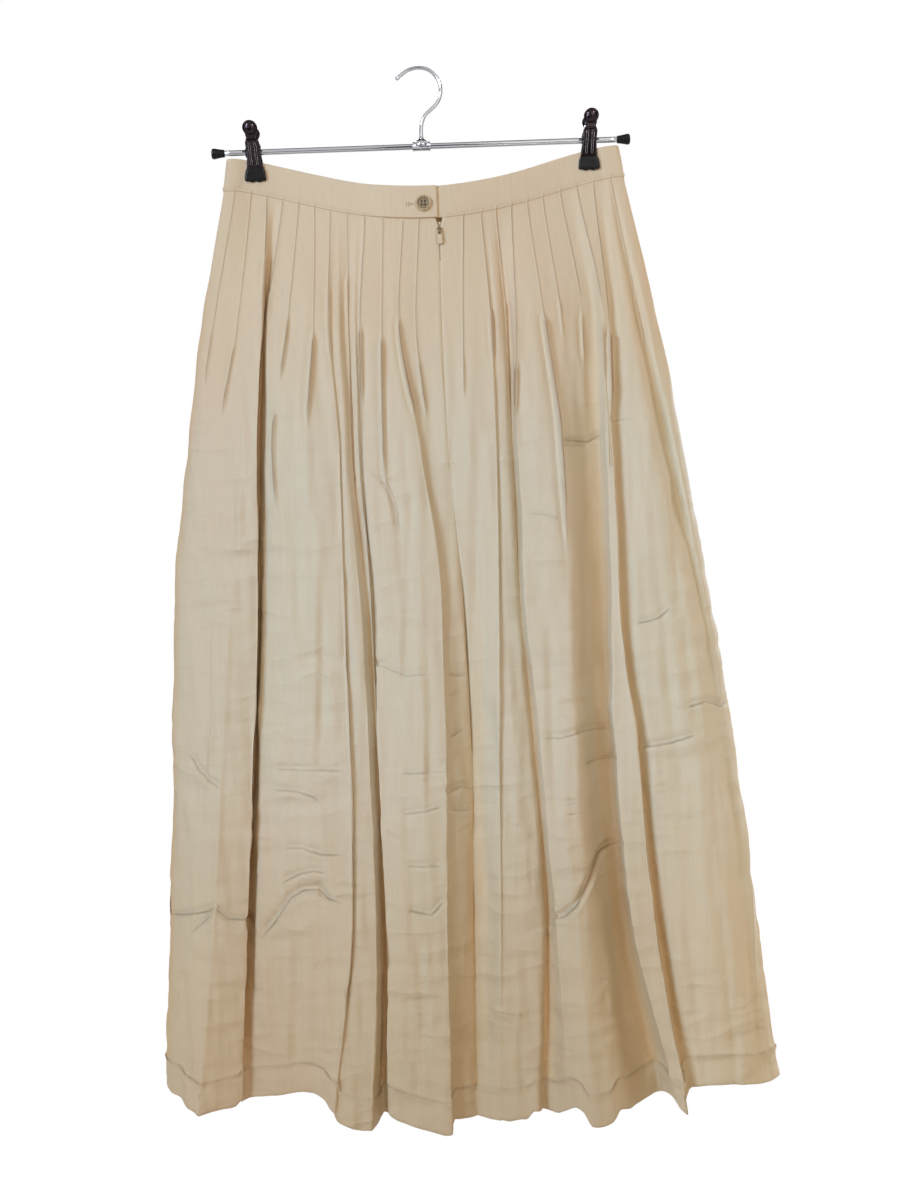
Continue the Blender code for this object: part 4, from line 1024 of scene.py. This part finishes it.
def horn_material():
    m = Nodes("button_horn")
    rings = m.add("ShaderNodeTexWave", {"Vector": m.scaled((160, 40, 210)), "Scale": 1.0, "Distortion": 5.0, "Detail": 3.0}).outputs["Fac"]
    tone = m.ramp(rings, ((0.2, (0.30, 0.235, 0.150)), (0.6, (0.36, 0.29, 0.19)), (0.9, (0.42, 0.345, 0.235))))
    away = m.add("ShaderNodeVectorMath", {0: m.scaled((1, 0, 1)), 1: (0.0007, 0.0, -0.1322)}, operation="DISTANCE").outputs["Value"]
    # Lighter over the rim and darker over the dished middle, with a painted shade ring where the rim's inner wall
    # meets the dish.
    dish_tone_and_shade = m.ramp(m.math("MULTIPLY", away, 100.0), ((0.0, (0.82, 0.78, 0.70)), (0.42, (0.82, 0.78, 0.70)), (0.50, (0.45, 0.42, 0.37)), (0.57, (1.30, 1.26, 1.16)), (0.72, (1.60, 1.54, 1.40))))
    m.set(m.shader.inputs["Base Color"], m.mix(1.0, tone, dish_tone_and_shade, "MULTIPLY"))
    m.shader.inputs["Roughness"].default_value = 0.28
    m.set(m.shader.inputs["Normal"], m.bump(rings, 0.1, 0.0002))
    return m.material


HORN = horn_material()
HOOK = (
    (-20.6, -7.8), (-14.8, -3.4), (-8.4, 0.3), (0.0, 1.75), (7.6, 0.4), (14.0, -3.8), (18.8, -10.4),
    (20.8, -18.6), (19.6, -27.0), (15.6, -34.0), (9.8, -39.4), (4.8, -44.0), (2.0, -50.0), (1.0, -56.0), (0.7, -66.0),
)
HOOK_WIRE_R, ROD_R, ROD_HALF, GAP = 1.75, 2.75, 187.5, 0.3
CLIP_HEAD_Z, CLIP_FOOT_TOP_Z, CLIP_FOOT_Z = -50.2, -87.0, -101.6
HEAD_STAND, FOOT_STAND = 11.2, 5.4


def build_hook_and_rod():
    line = [(p[0], 0.0, p[1]) for p in spline(HOOK, 1.1)]
    radius = np.full(len(line), HOOK_WIRE_R)
    radius[0] = 1.2
    hook = tube("hanger_hook_wire", line, radius, 18)
    tip = turned("tip", [(-1.9, 0.5), (-1.6, 1.4), (-0.7, 1.95), (0.5, 1.95), (1.3, 1.6), (1.6, 0.6)], (0, 0, 0), "X", 20)
    tip.data.transform(Matrix.Translation(Vector((-20.2, 0, -7.6)) * MM) @ Matrix.Rotation(math.radians(-36), 4, "Y"))
    dress(joined("hanger_hook_wire", [hook, tip]), "hanger_hook", CHROME)
    rod = turned("hanger_rod_wire", [(-ROD_HALF, ROD_R - 0.5), (-ROD_HALF + 0.5, ROD_R)]
                 + [(x, ROD_R) for x in np.linspace(-180, 180, 25)]
                 + [(ROD_HALF - 0.5, ROD_R), (ROD_HALF, ROD_R - 0.5)], (0, 0, ROD_Z), "X", 32)
    dress(rod, "hanger_rod", CHROME)
    sleeve = turned("sleeve", [(-8.5, 3.15), (-8.5, 4.0), (-8.1, 4.4), (-7.2, 4.5), (-6.6, 4.15), (6.6, 4.15), (7.2, 4.5), (8.1, 4.4), (8.5, 4.0), (8.5, 3.15)], (0.7, 0, ROD_Z), "X", 36)
    dome = turned("dome", [(-0.5, 6.9), (0.4, 7.3), (1.6, 7.2), (3.0, 6.7), (4.4, 5.8), (5.7, 4.5), (6.7, 3.1), (7.2, 2.3), (8.6, 2.1), (9.4, 1.9)], (0.7, 0, ROD_Z), "Z", 36)
    dress(joined("hanger_sleeve", [sleeve, dome]), "hanger_boss", CHROME)
    for side, word in ((-1, "left"), (1, "right")):
        profile = [(0.0, 2.9), (0.3, 3.4), (1.0, 3.65), (3.0, 3.8), (6.0, 4.3), (8.6, 4.85), (10.2, 5.1), (11.2, 5.0), (12.0, 4.5), (12.45, 3.6), (12.65, 2.2), (12.7, 0.4)]
        cap = turned("end_cap_rubber_" + word, [(side * (ROD_HALF - 0.4 + a), r) for a, r in profile], (0, 0, ROD_Z), "X", 36)
        dress(cap, "end_cap_" + word, RUBBER)


def plate_width(v):
    """Half-width of a clip jaw, v mm below the middle of its head."""
    return through((0.0, 4.0, 7.2, 9.5, 13.6, 21.0, 29.0, 36.8), (5.9, 5.7, 4.7, 5.1, 6.9, 6.7, 7.2, 7.9), v)


def build_clip(x, word, head_shift, foot_shift):
    lean = math.atan2(HEAD_STAND - FOOT_STAND, CLIP_HEAD_Z - CLIP_FOOT_TOP_Z)
    for side, which in ((-1, "front"), (1, "back")):
        rows, across = 56, 44
        v = np.linspace(-1.0, 37.6, rows)[:, None]
        u = np.linspace(-1, 1, across + 1)[None, :]
        w = plate_width(np.clip(v, 0, 36.8))
        px = u * w + 0 * v
        # Side walls turn back towards the rod; two pressed ribs stand out.
        bend = 2.6 * np.clip((np.abs(u) - 0.80) / 0.20, 0, 1) ** 2 * smooth((v - 8) / 5) * smooth((37 - v) / 8)
        inside = smooth((v - 13.2) / 1.2) * smooth((35.2 - v) / 1.0)
        rib = sum(np.clip(1.35 - ((px - s) / 1.15) ** 4, 0, 1) for s in (-2.75, 2.75)) * inside * 0.9
        neck = 0.5 * np.exp(-(((v - 10.0) / 1.0) ** 2)) * smooth((1 - np.abs(u)) / 0.3)
        front = np.stack([px, -(rib - bend + neck) - 0.5, -v + 0 * u], 2)
        back = np.stack([px * 0.99, bend + 0.45, -v + 0 * u], 2)
        grid = np.concatenate([front, back[:, ::-1]], axis=1)
        plate = object_from("plate", grid)
        head = turned("head", [(-6.65, 0.3)] + [(-6.7 * math.cos(a), 6.7 * math.sin(a)) for a in np.linspace(0.12, math.pi - 0.12, 22)] + [(6.65, 0.3)], (0, 0, 0), "Z", 40)
        head.data.transform(Matrix.Diagonal((1.0, 0.60, 1.0, 1.0)))
        rim = turned("rim", [(-0.8, 3.0), (-0.8, 6.9), (-0.2, 7.2), (0.5, 6.9), (0.5, 3.0)], (0, 0.4, 0), "Y", 36)
        parts = [plate, head, rim]
        tilt = Matrix.Identity(4)
        tilt[0][2] = (head_shift - foot_shift) / 36.0 * (1 if side < 0 else -1)
        for part in parts:
            part.data.transform(Matrix.Rotation(lean, 4, "X"))
            part.data.transform(Matrix.Translation(Vector(((head_shift) * (1 if side < 0 else -1), -HEAD_STAND + 0.9, CLIP_HEAD_Z - 2.4)) * MM) @ tilt)
        ear_x = 6.3 if side < 0 else 4.9
        for sign in (-1, 1):
            ear = turned("ear", [(sign * ear_x - 0.5, 3.1), (sign * ear_x - 0.5, 4.5), (sign * ear_x - 0.3, 4.7), (sign * ear_x + 0.3, 4.7), (sign * ear_x + 0.5, 4.5), (sign * ear_x + 0.5, 3.1)], (0, 0, ROD_Z), "X", 32)
            arm = tube("arm", [(sign * ear_x, -2.5, ROD_Z + 0.5), (sign * ear_x, -5.0, ROD_Z), (sign * ear_x, -7.2, ROD_Z)], 3.3, 12, 0.14)
            parts += [ear, arm]
        if side < 0:
            # Painted highlight: lines of lighter metal along the ribs' edges stand in for the light they catch.
            edges = []
            for s in (-2.75, 2.75):
                loop = [(s - 0.8, -1.48, -34.6), (s - 0.85, -1.5, -24.0), (s - 0.8, -1.48, -15.2), (s, -1.46, -14.2), (s + 0.8, -1.48, -15.2), (s + 0.85, -1.5, -24.0), (s + 0.8, -1.48, -34.6)]
                edges.append(tube("rib", spline(loop, 0.8), 0.2, 8))
            edges = joined("clip_rib_highlight_edges_" + word, edges)
            edges.data.transform(Matrix.Rotation(lean, 4, "X"))
            edges.data.transform(Matrix.Translation(Vector((head_shift, -HEAD_STAND + 0.9, CLIP_HEAD_Z - 2.4)) * MM) @ tilt)
            edges.data.transform(Matrix.Translation(Vector((x, 0, 0)) * MM))
            edges.data.materials.append(RIB_HIGHLIGHT_EDGE)
            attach(edges, "root")
        jaw = joined("clip_" + which + "_plate_" + word, parts)
        if side > 0:
            jaw.data.transform(Matrix.Rotation(math.pi, 4, "Z"))
        jaw.data.transform(Matrix.Translation(Vector((x, 0, 0)) * MM))
        dress(jaw, which + "_jaw_" + word, NICKEL)
        build_pad(x + foot_shift, side, which, word)
    coil = []
    turns, wire_r = 5, 0.62
    for k in range(turns * 20 + 1):
        a = 2 * math.pi * k / 20
        coil.append((x - 3.0 + 6.0 * k / (turns * 20), -3.75 * math.sin(a), ROD_Z + 3.75 * math.cos(a)))
    legs_a = [(x - 3.2, -1.5, ROD_Z + 14), (x - 3.1, -2.2, ROD_Z + 9), (x - 3.05, -1.2, ROD_Z + 4.8)]
    legs_b = [(x + 3.05, 1.2, ROD_Z + 4.8), (x + 3.1, 2.2, ROD_Z + 9), (x + 3.2, 1.5, ROD_Z + 14)]
    spring = tube("clip_coil_" + word, legs_a + coil + legs_b, wire_r, 10)
    dress(spring, "clip_spring_" + word, CHROME)


def build_pad(x, side, which, word):
    """The rubber foot: fuller at its corners, with a three-lobed lower edge."""
    grip = float(waist_stand(CLIP_X)) + BAND_WALL / 2 + GAP
    rings = []
    for deep, shrink in ((0.0, 0.6), (0.35, 0.12), (1.0, 0.0), (2.2, 0.0), (2.9, 0.35), (3.3, 1.2), (3.45, 2.6), (3.3, 4.2)):
        ring = []
        for k in range(72):
            a = 2 * math.pi * k / 72
            c, s = math.cos(a), math.sin(a)
            power = 5.0
            r = (abs(c) ** power + abs(s) ** power) ** (-1 / power)
            u, w = r * c, r * s
            half = 9.7 + 0.9 * (-w)
            tall = 6.7
            low = 0.5 * math.cos(3 * math.pi * u) * float(smooth((-w - 0.3) / 0.6))
            px = u * max(0.5, half - shrink)
            pz = w * max(0.5, tall - shrink) + low * (1 if shrink < 2 else 0.4)
            ring.append((px, deep, pz))
        rings.append(ring)
    grid = np.array(rings)
    grid[..., 1] = side * (grip + grid[..., 1])
    grid[..., 0] += x
    grid[..., 2] += -95.8
    pad = object_from("clip_" + which + "_rubber_" + word, grid)
    dress(pad, which + "_pad_" + word, RUBBER)


build_hook_and_rod()
build_clip(-CLIP_X, "left", -1.0, 2.2)
build_clip(CLIP_X, "right", 2.4, -0.8)

BUTTON_X, BUTTON_Z = 0.7, -132.2
LAP_FACE = -(float(waist_stand(BUTTON_X)) + LAP_PROUD + BAND_WALL / 2 + 0.3)


def build_button():
    """A two-tone horn button with a dished middle, four holes and crossed thread."""
    rows = [(0.0, 0.3), (0.0, 4.8), (0.5, 6.3), (1.1, 7.2), (1.8, 7.5), (2.4, 7.35), (2.8, 6.9), (2.9, 6.3), (2.75, 5.8), (2.3, 5.35), (1.9, 5.1), (1.72, 4.6), (1.65, 3.8)]
    rings = []
    around = 96
    holes = [(sx * 1.55, sz * 1.55) for sx in (-1, 1) for sz in (-1, 1)]
    for deep, radius in rows + [(1.65, r) for r in np.linspace(3.6, 0.12, 22)]:
        ring = []
        for k in range(around):
            a = 2 * math.pi * k / around
            px, pz = radius * math.cos(a), radius * math.sin(a)
            d = deep
            if deep == 1.65:
                near = min(math.hypot(px - hx, pz - hz) for hx, hz in holes)
                d -= 1.6 * float(smooth((1.08 - near) / 0.3))
                d += 0.16 * math.exp(-(((near - 1.08) / 0.18) ** 2))
            ring.append((BUTTON_X + px, LAP_FACE - d, BUTTON_Z + pz))
        rings.append(ring)
    button = object_from("horn_button", rings)
    dress(button, "button", HORN)
    threads = []
    for a, b in ((0, 3), (1, 2)):
        (ax, az), (bx, bz) = holes[a], holes[b]
        for off in (-0.22, 0.22):
            nx, nz = (az - bz) / 4.4 * off, (bx - ax) / 4.4 * off
            lift = 1.9 if a else 2.2
            line = [(BUTTON_X + ax + nx, LAP_FACE - 0.7, BUTTON_Z + az + nz)]
            for s in (0.12, 0.3, 0.5, 0.7, 0.88):
                line.append((BUTTON_X + ax + (bx - ax) * s + nx, LAP_FACE - 1.35 - (lift - 1.35) * math.sin(math.pi * s), BUTTON_Z + az + (bz - az) * s + nz))
            line.append((BUTTON_X + bx + nx, LAP_FACE - 0.7, BUTTON_Z + bz + nz))
            threads.append(tube("t", spline(line, 0.25), 0.13, 8))
    thread = joined("button_thread", threads)
    thread.data.materials.append(THREAD)
    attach(thread, "root")
    # Painted shade: dark discs down in the four holes stand in for the shade inside them.
    shades = [turned("h", [(-0.15, 0.05), (-0.15, 0.92), (0.0, 0.92), (0.0, 0.05)], (BUTTON_X + hx, LAP_FACE - 0.85, BUTTON_Z + hz), "Y", 20) for hx, hz in holes]
    shade = joined("button_hole_shade_discs", shades)
    shade.data.materials.append(simple_material("hole_shade", (0.035, 0.022, 0.014), 0.8))
    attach(shade, "root")


def build_buttonhole():
    """A worked buttonhole: a slit with close stitches round it and a bar across its end."""
    face = LAP_FACE + 0.32
    stitches = []
    start, end = -13.0, -4.8
    count = 26
    for k in range(count):
        x = start + (end - start) * k / (count - 1)
        for sign in (-1, 1):
            wob = 0.06 * math.sin(k * 2.3 + sign)
            line = [(x, face + 0.15, BUTTON_Z - 0.35 + sign * 0.22), (x + wob, face - 0.22, BUTTON_Z - 0.35 + sign * 0.65), (x, face + 0.15, BUTTON_Z - 0.35 + sign * (1.25 + wob))]
            stitches.append(tube("s", line, 0.17, 6))
    for dx in (-2.5, -2.25, -0.25, 0.0):
        x = start + dx
        line = [(x, face + 0.15, BUTTON_Z - 0.35 - 2.1), (x, face - 0.2, BUTTON_Z - 0.35 - 1.6), (x, face - 0.2, BUTTON_Z - 0.35 + 1.6), (x, face + 0.15, BUTTON_Z - 0.35 + 2.1)]
        stitches.append(tube("s", line, 0.15, 6))
    for dz in (-2.1, 2.1):
        line = [(start - 2.6, face + 0.1, BUTTON_Z - 0.35 + dz), (start - 1.9, face - 0.18, BUTTON_Z - 0.35 + dz), (start - 0.6, face - 0.18, BUTTON_Z - 0.35 + dz), (start + 0.1, face + 0.1, BUTTON_Z - 0.35 + dz)]
        stitches.append(tube("s", line, 0.14, 6))
    hole = joined("buttonhole_stitches", stitches)
    hole.data.materials.append(SEAM_THREAD)
    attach(hole, "root")


build_button()
build_buttonhole()

PULL_PIVOT = (14.9, -19.0, -158.6)


def centre_line(t):
    """The middle of the zip behind the two panels, t from the seam (0) to the hem (1)."""
    fold = FOLDS["centre_seam"]
    top = float(seam_z(fold["x_waist"])) - 0.2
    z = top + (fold["z_hem"] - top) * t
    x = float(fold_x(fold, np.array([z]))[0])
    y = -float(np.maximum(stand(np.array([x]), np.array([z])) + fold_proud(fold, np.array([z])), 2.0)[0])
    return x, y, z


def build_zip():
    rows = []
    for k in range(60):
        x, y, z = centre_line(0.004 + 0.225 * k / 59)
        open_by = 3.0 * max(0.0, 1 - (float(seam_z(15.0)) - 0.2 - z) / 10.5)
        rows.append((x, y, z, open_by))
    tapes = []
    for side in (-1, 1):
        front = [[(x + side * (w + o), y + 1.55 + d, z) for w, d in ((0.15, 0), (1.6, 0.0), (5.0, 0.35), (10.5, 0.9))] for x, y, z, o in rows]
        back = [[(x + side * (w + o), y + 2.25 + d, z) for w, d in ((10.5, 0.9), (5.0, 0.35), (1.6, 0.0), (0.15, 0))] for x, y, z, o in rows]
        tapes.append(object_from("tape", np.concatenate([np.array(front), np.array(back)], axis=1)))
    shield = [[(x + w, y + 2.7, z) for w in (-9.0, -3.0, 3.0, 9.0)] + [(x + w, y + 3.3, z) for w in (9.0, 3.0, -3.0, -9.0)] for x, y, z, o in rows[:40]]
    tapes.append(object_from("shield", np.array(shield)))
    dress(joined("zip_tape_cloth", tapes), "zip_tape", TAPE)
    teeth = []
    for side in (-1, 1):
        for k in range(64):
            z = float(seam_z(15.0)) - 1.2 - 0.62 * k - (0.31 if side > 0 else 0)
            t = (float(seam_z(15.0)) - 0.2 - z) / (FOLDS["centre_seam"]["z_hem"] * -1 - 148.0)
            x, y, _ = centre_line(max(0.0, t))
            open_by = 3.0 * max(0.0, 1 - (float(seam_z(15.0)) - 0.2 - z) / 10.5)
            x += side * (open_by + 0.1)
            teeth.append(tube("tooth", [(x - side * 0.45, y + 1.0, z), (x + side * 0.05, y + 0.7, z + 0.05), (x + side * 0.55, y + 1.05, z)], 0.22, 6))
        edge = [(x + side * (o + 0.45), y + 1.2, z) for x, y, z, o in rows[:14]]
        teeth.append(tube("coil_edge", edge, 0.24, 8))
    coil = joined("zip_teeth_rows", teeth)
    coil.data.materials.append(BRONZE)
    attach(coil, "root")

    px, py, pz = PULL_PIVOT

    def slab(name, outline, thick, y_mid, edge=0.2, rows_in=3):
        """A flat pressed piece with a soft rim: outline rows are (x, z)."""
        line = spline(outline + [outline[0]], 0.35)[:-1]
        middle = line.mean(axis=0)
        rings = []
        for deep, shrink in ((thick / 2, edge * 2.2), (thick / 2, edge), (thick / 2 - edge, 0.0), (-thick / 2 + edge, 0.0), (-thick / 2, edge), (-thick / 2, edge * 2.2)):
            toward = middle - line
            toward /= np.maximum(np.linalg.norm(toward, axis=1, keepdims=True), 1e-6)
            p = line + toward * shrink
            rings.append([(px + a, py + y_mid + deep, pz + b) for a, b in p])
        return object_from(name, rings)

    body = slab("body", [(-1.5, 3.7), (0, 4.0), (1.5, 3.7), (2.1, 2.6), (1.9, 0.5), (1.55, -1.4), (1.0, -2.4), (-1.0, -2.4), (-1.55, -1.4), (-1.9, 0.5), (-2.1, 2.6)], 1.2, 1.4, 0.25)
    bridge = tube("bridge", spline([(px, py + 1.0, pz + 2.7), (px, py - 0.2, pz + 2.3), (px, py - 0.95, pz + 1.2), (px, py - 1.05, pz), (px, py - 0.9, pz - 1.1), (px, py - 0.1, pz - 1.9), (px, py + 1.0, pz - 2.2)], 0.25), 0.42, 10, 0.8)
    dress(joined("zip_slider_body", [body, bridge]), "zip_slider", BRONZE)

    # The pull: a narrow loop over the bridge and a long rounded tab.
    loop = [(-0.1, 0.62), (1.0, 0.5), (1.75, -0.3), (1.8, -1.6), (1.5, -3.2)]
    loop = loop + [(-a, b) for a, b in loop[::-1]]
    ring_line = [(px + a, py, pz + b) for a, b in spline([(1.35, -3.6), (1.5, -2.4), (1.45, -0.8), (1.0, 0.05), (0.0, 0.3), (-1.0, 0.05), (-1.45, -0.8), (-1.5, -2.4), (-1.35, -3.6)], 0.3)]
    ring = tube("ring", ring_line, 0.37, 10)
    tab = slab("tab", [(-1.3, -3.3), (0, -3.1), (1.3, -3.3), (2.2, -4.6), (2.55, -7.5), (2.5, -10.8), (1.9, -12.2), (0, -12.55), (-1.9, -12.2), (-2.5, -10.8), (-2.55, -7.5), (-2.2, -4.6)], 0.8, 0.0, 0.22)
    dress(joined("zip_pull_tab", [ring, tab]), "zip_pull", PULL)


build_zip()


# ------------------------------------------------------------------ stage, light, camera
def flat_material(name, colour, strength):
    made = bpy.data.materials.new(name)
    made.use_nodes = True
    tree = made.node_tree
    tree.nodes.clear()
    out = tree.nodes.new("ShaderNodeOutputMaterial")
    glow = tree.nodes.new("ShaderNodeEmission")
    glow.inputs["Color"].default_value = (*colour, 1.0)
    glow.inputs["Strength"].default_value = strength
    tree.links.new(glow.outputs[0], out.inputs["Surface"])
    return made


def build_stage():
    """A white sweep: floor and far walls, and two dark cards for the metal to reflect."""
    white = flat_material("studio_white", (1.0, 1.0, 1.0), 1.0)
    dark = flat_material("studio_dark", (0.02, 0.02, 0.025), 1.0)
    spark = flat_material("studio_spark", (1.0, 1.0, 1.0), 60.0)
    bpy.ops.mesh.primitive_plane_add(size=14, location=(0, 0, -1.22))
    floor = bpy.context.object
    bpy.ops.mesh.primitive_uv_sphere_add(radius=6.5, segments=48, ring_count=24, location=(0, 0, -0.5))
    walls = bpy.context.object
    floor.name, walls.name = "stage_floor", "stage_walls"
    for obj in (floor, walls):
        obj.data.materials.append(white)
        obj.visible_diffuse = obj.visible_transmission = obj.visible_shadow = False
    for name, place, size, turn, finish in (
        ("stage_card_low_left", (-0.75, -2.0, -1.75), (1.5, 2.6), (75, 0, 0), dark),
        ("stage_card_low_right", (0.9, -2.2, -2.6), (1.6, 1.6), (62, 0, 0), dark),
        ("stage_card_front", (0.25, -3.2, 0.1), (0.8, 2.2), (90, 0, 0), dark),
        ("stage_card_right", (2.6, -1.2, 0.0), (1.1, 2.6), (90, 0, 78), dark),
        ("stage_spark_left", (-1.2, -1.7, 1.0), (0.38, 0.34), (65, 0, -35), spark),
        ("stage_spark_right", (1.1, -1.9, 1.1), (0.26, 0.30), (65, 0, 32), spark),
        ("stage_spark_low", (0.3, -1.9, -1.35), (0.50, 0.20), (115, 0, 8), spark),
        ("stage_card_far_left", (-2.6, 1.5, 0.0), (4.4, 4.0), (90, 0, 60), dark),
        ("stage_card_far_right", (2.6, 1.5, 0.0), (4.4, 4.0), (90, 0, -60), dark),
        ("stage_card_far_top", (0.0, 1.5, 2.6), (3.0, 3.6), (-30, 0, 0), dark),
    ):
        bpy.ops.mesh.primitive_plane_add(size=1, location=place, rotation=[math.radians(a) for a in turn])
        card = bpy.context.object
        card.name = name
        card.scale = (size[0], size[1], 1.0)
        card.data.materials.append(finish)
        card.visible_camera = card.visible_diffuse = card.visible_transmission = card.visible_shadow = False


def area_light(name, place, aim, size, power, colour):
    data = bpy.data.lights.new(name, "AREA")
    data.shape, data.size, data.size_y = "RECTANGLE", size[0], size[1]
    data.energy, data.color = power, colour
    obj = bpy.data.objects.new(name, data)
    obj.location = place
    obj.rotation_euler = (Vector(aim) - Vector(place)).to_track_quat("-Z", "Y").to_euler()
    bpy.context.scene.collection.objects.link(obj)
    return obj


def build_light():
    world = bpy.data.worlds.new("soft_room")
    bpy.context.scene.world = world
    world.use_nodes = True
    glow = world.node_tree.nodes["Background"]
    glow.inputs["Color"].default_value = (1.0, 0.67, 0.34, 1.0)
    glow.inputs["Strength"].default_value = 0.40
    area_light("key_left", (-2.6, -3.05, 0.4), (0.0, 0.0, -0.45), (1.4, 1.4), 87.0, (0.565, 0.79, 1.0))
    area_light("front_fill", (0.7, -2.1, 0.45), (0.0, 0.0, -0.35), (1.2, 1.2), 9.5, (0.93, 0.90, 0.82))
    area_light("key_back", (2.6, 3.05, 0.4), (0.0, 0.0, -0.45), (1.4, 1.4), 75.0, (0.565, 0.79, 1.0))
    area_light("back_fill", (-0.7, 2.1, 0.45), (0.0, 0.0, -0.35), (1.2, 1.2), 8.0, (0.93, 0.90, 0.82))
    area_light("rim_right", (1.6, 0.1, -0.3), (0.25, 0.0, -0.5), (0.7, 1.6), 6.0, (0.92, 0.94, 1.0))


def build_camera():
    data = bpy.data.cameras.new("camera")
    data.sensor_fit, data.sensor_height, data.sensor_width = "VERTICAL", 36.0, 36.0
    data.lens = 47.17
    data.clip_end = 50
    obj = bpy.data.objects.new("camera", data)
    obj.matrix_world = (
        Matrix.Translation((0.0138, -1.5, -0.5067))
        @ Matrix.Rotation(math.radians(90), 4, "X")
        @ Matrix.Rotation(math.radians(-2.05), 4, "Z")
    )
    bpy.context.scene.collection.objects.link(obj)
    bpy.context.scene.camera = obj


build_stage()
build_light()
build_camera()
bpy.context.scene.view_settings.view_transform = "Standard"
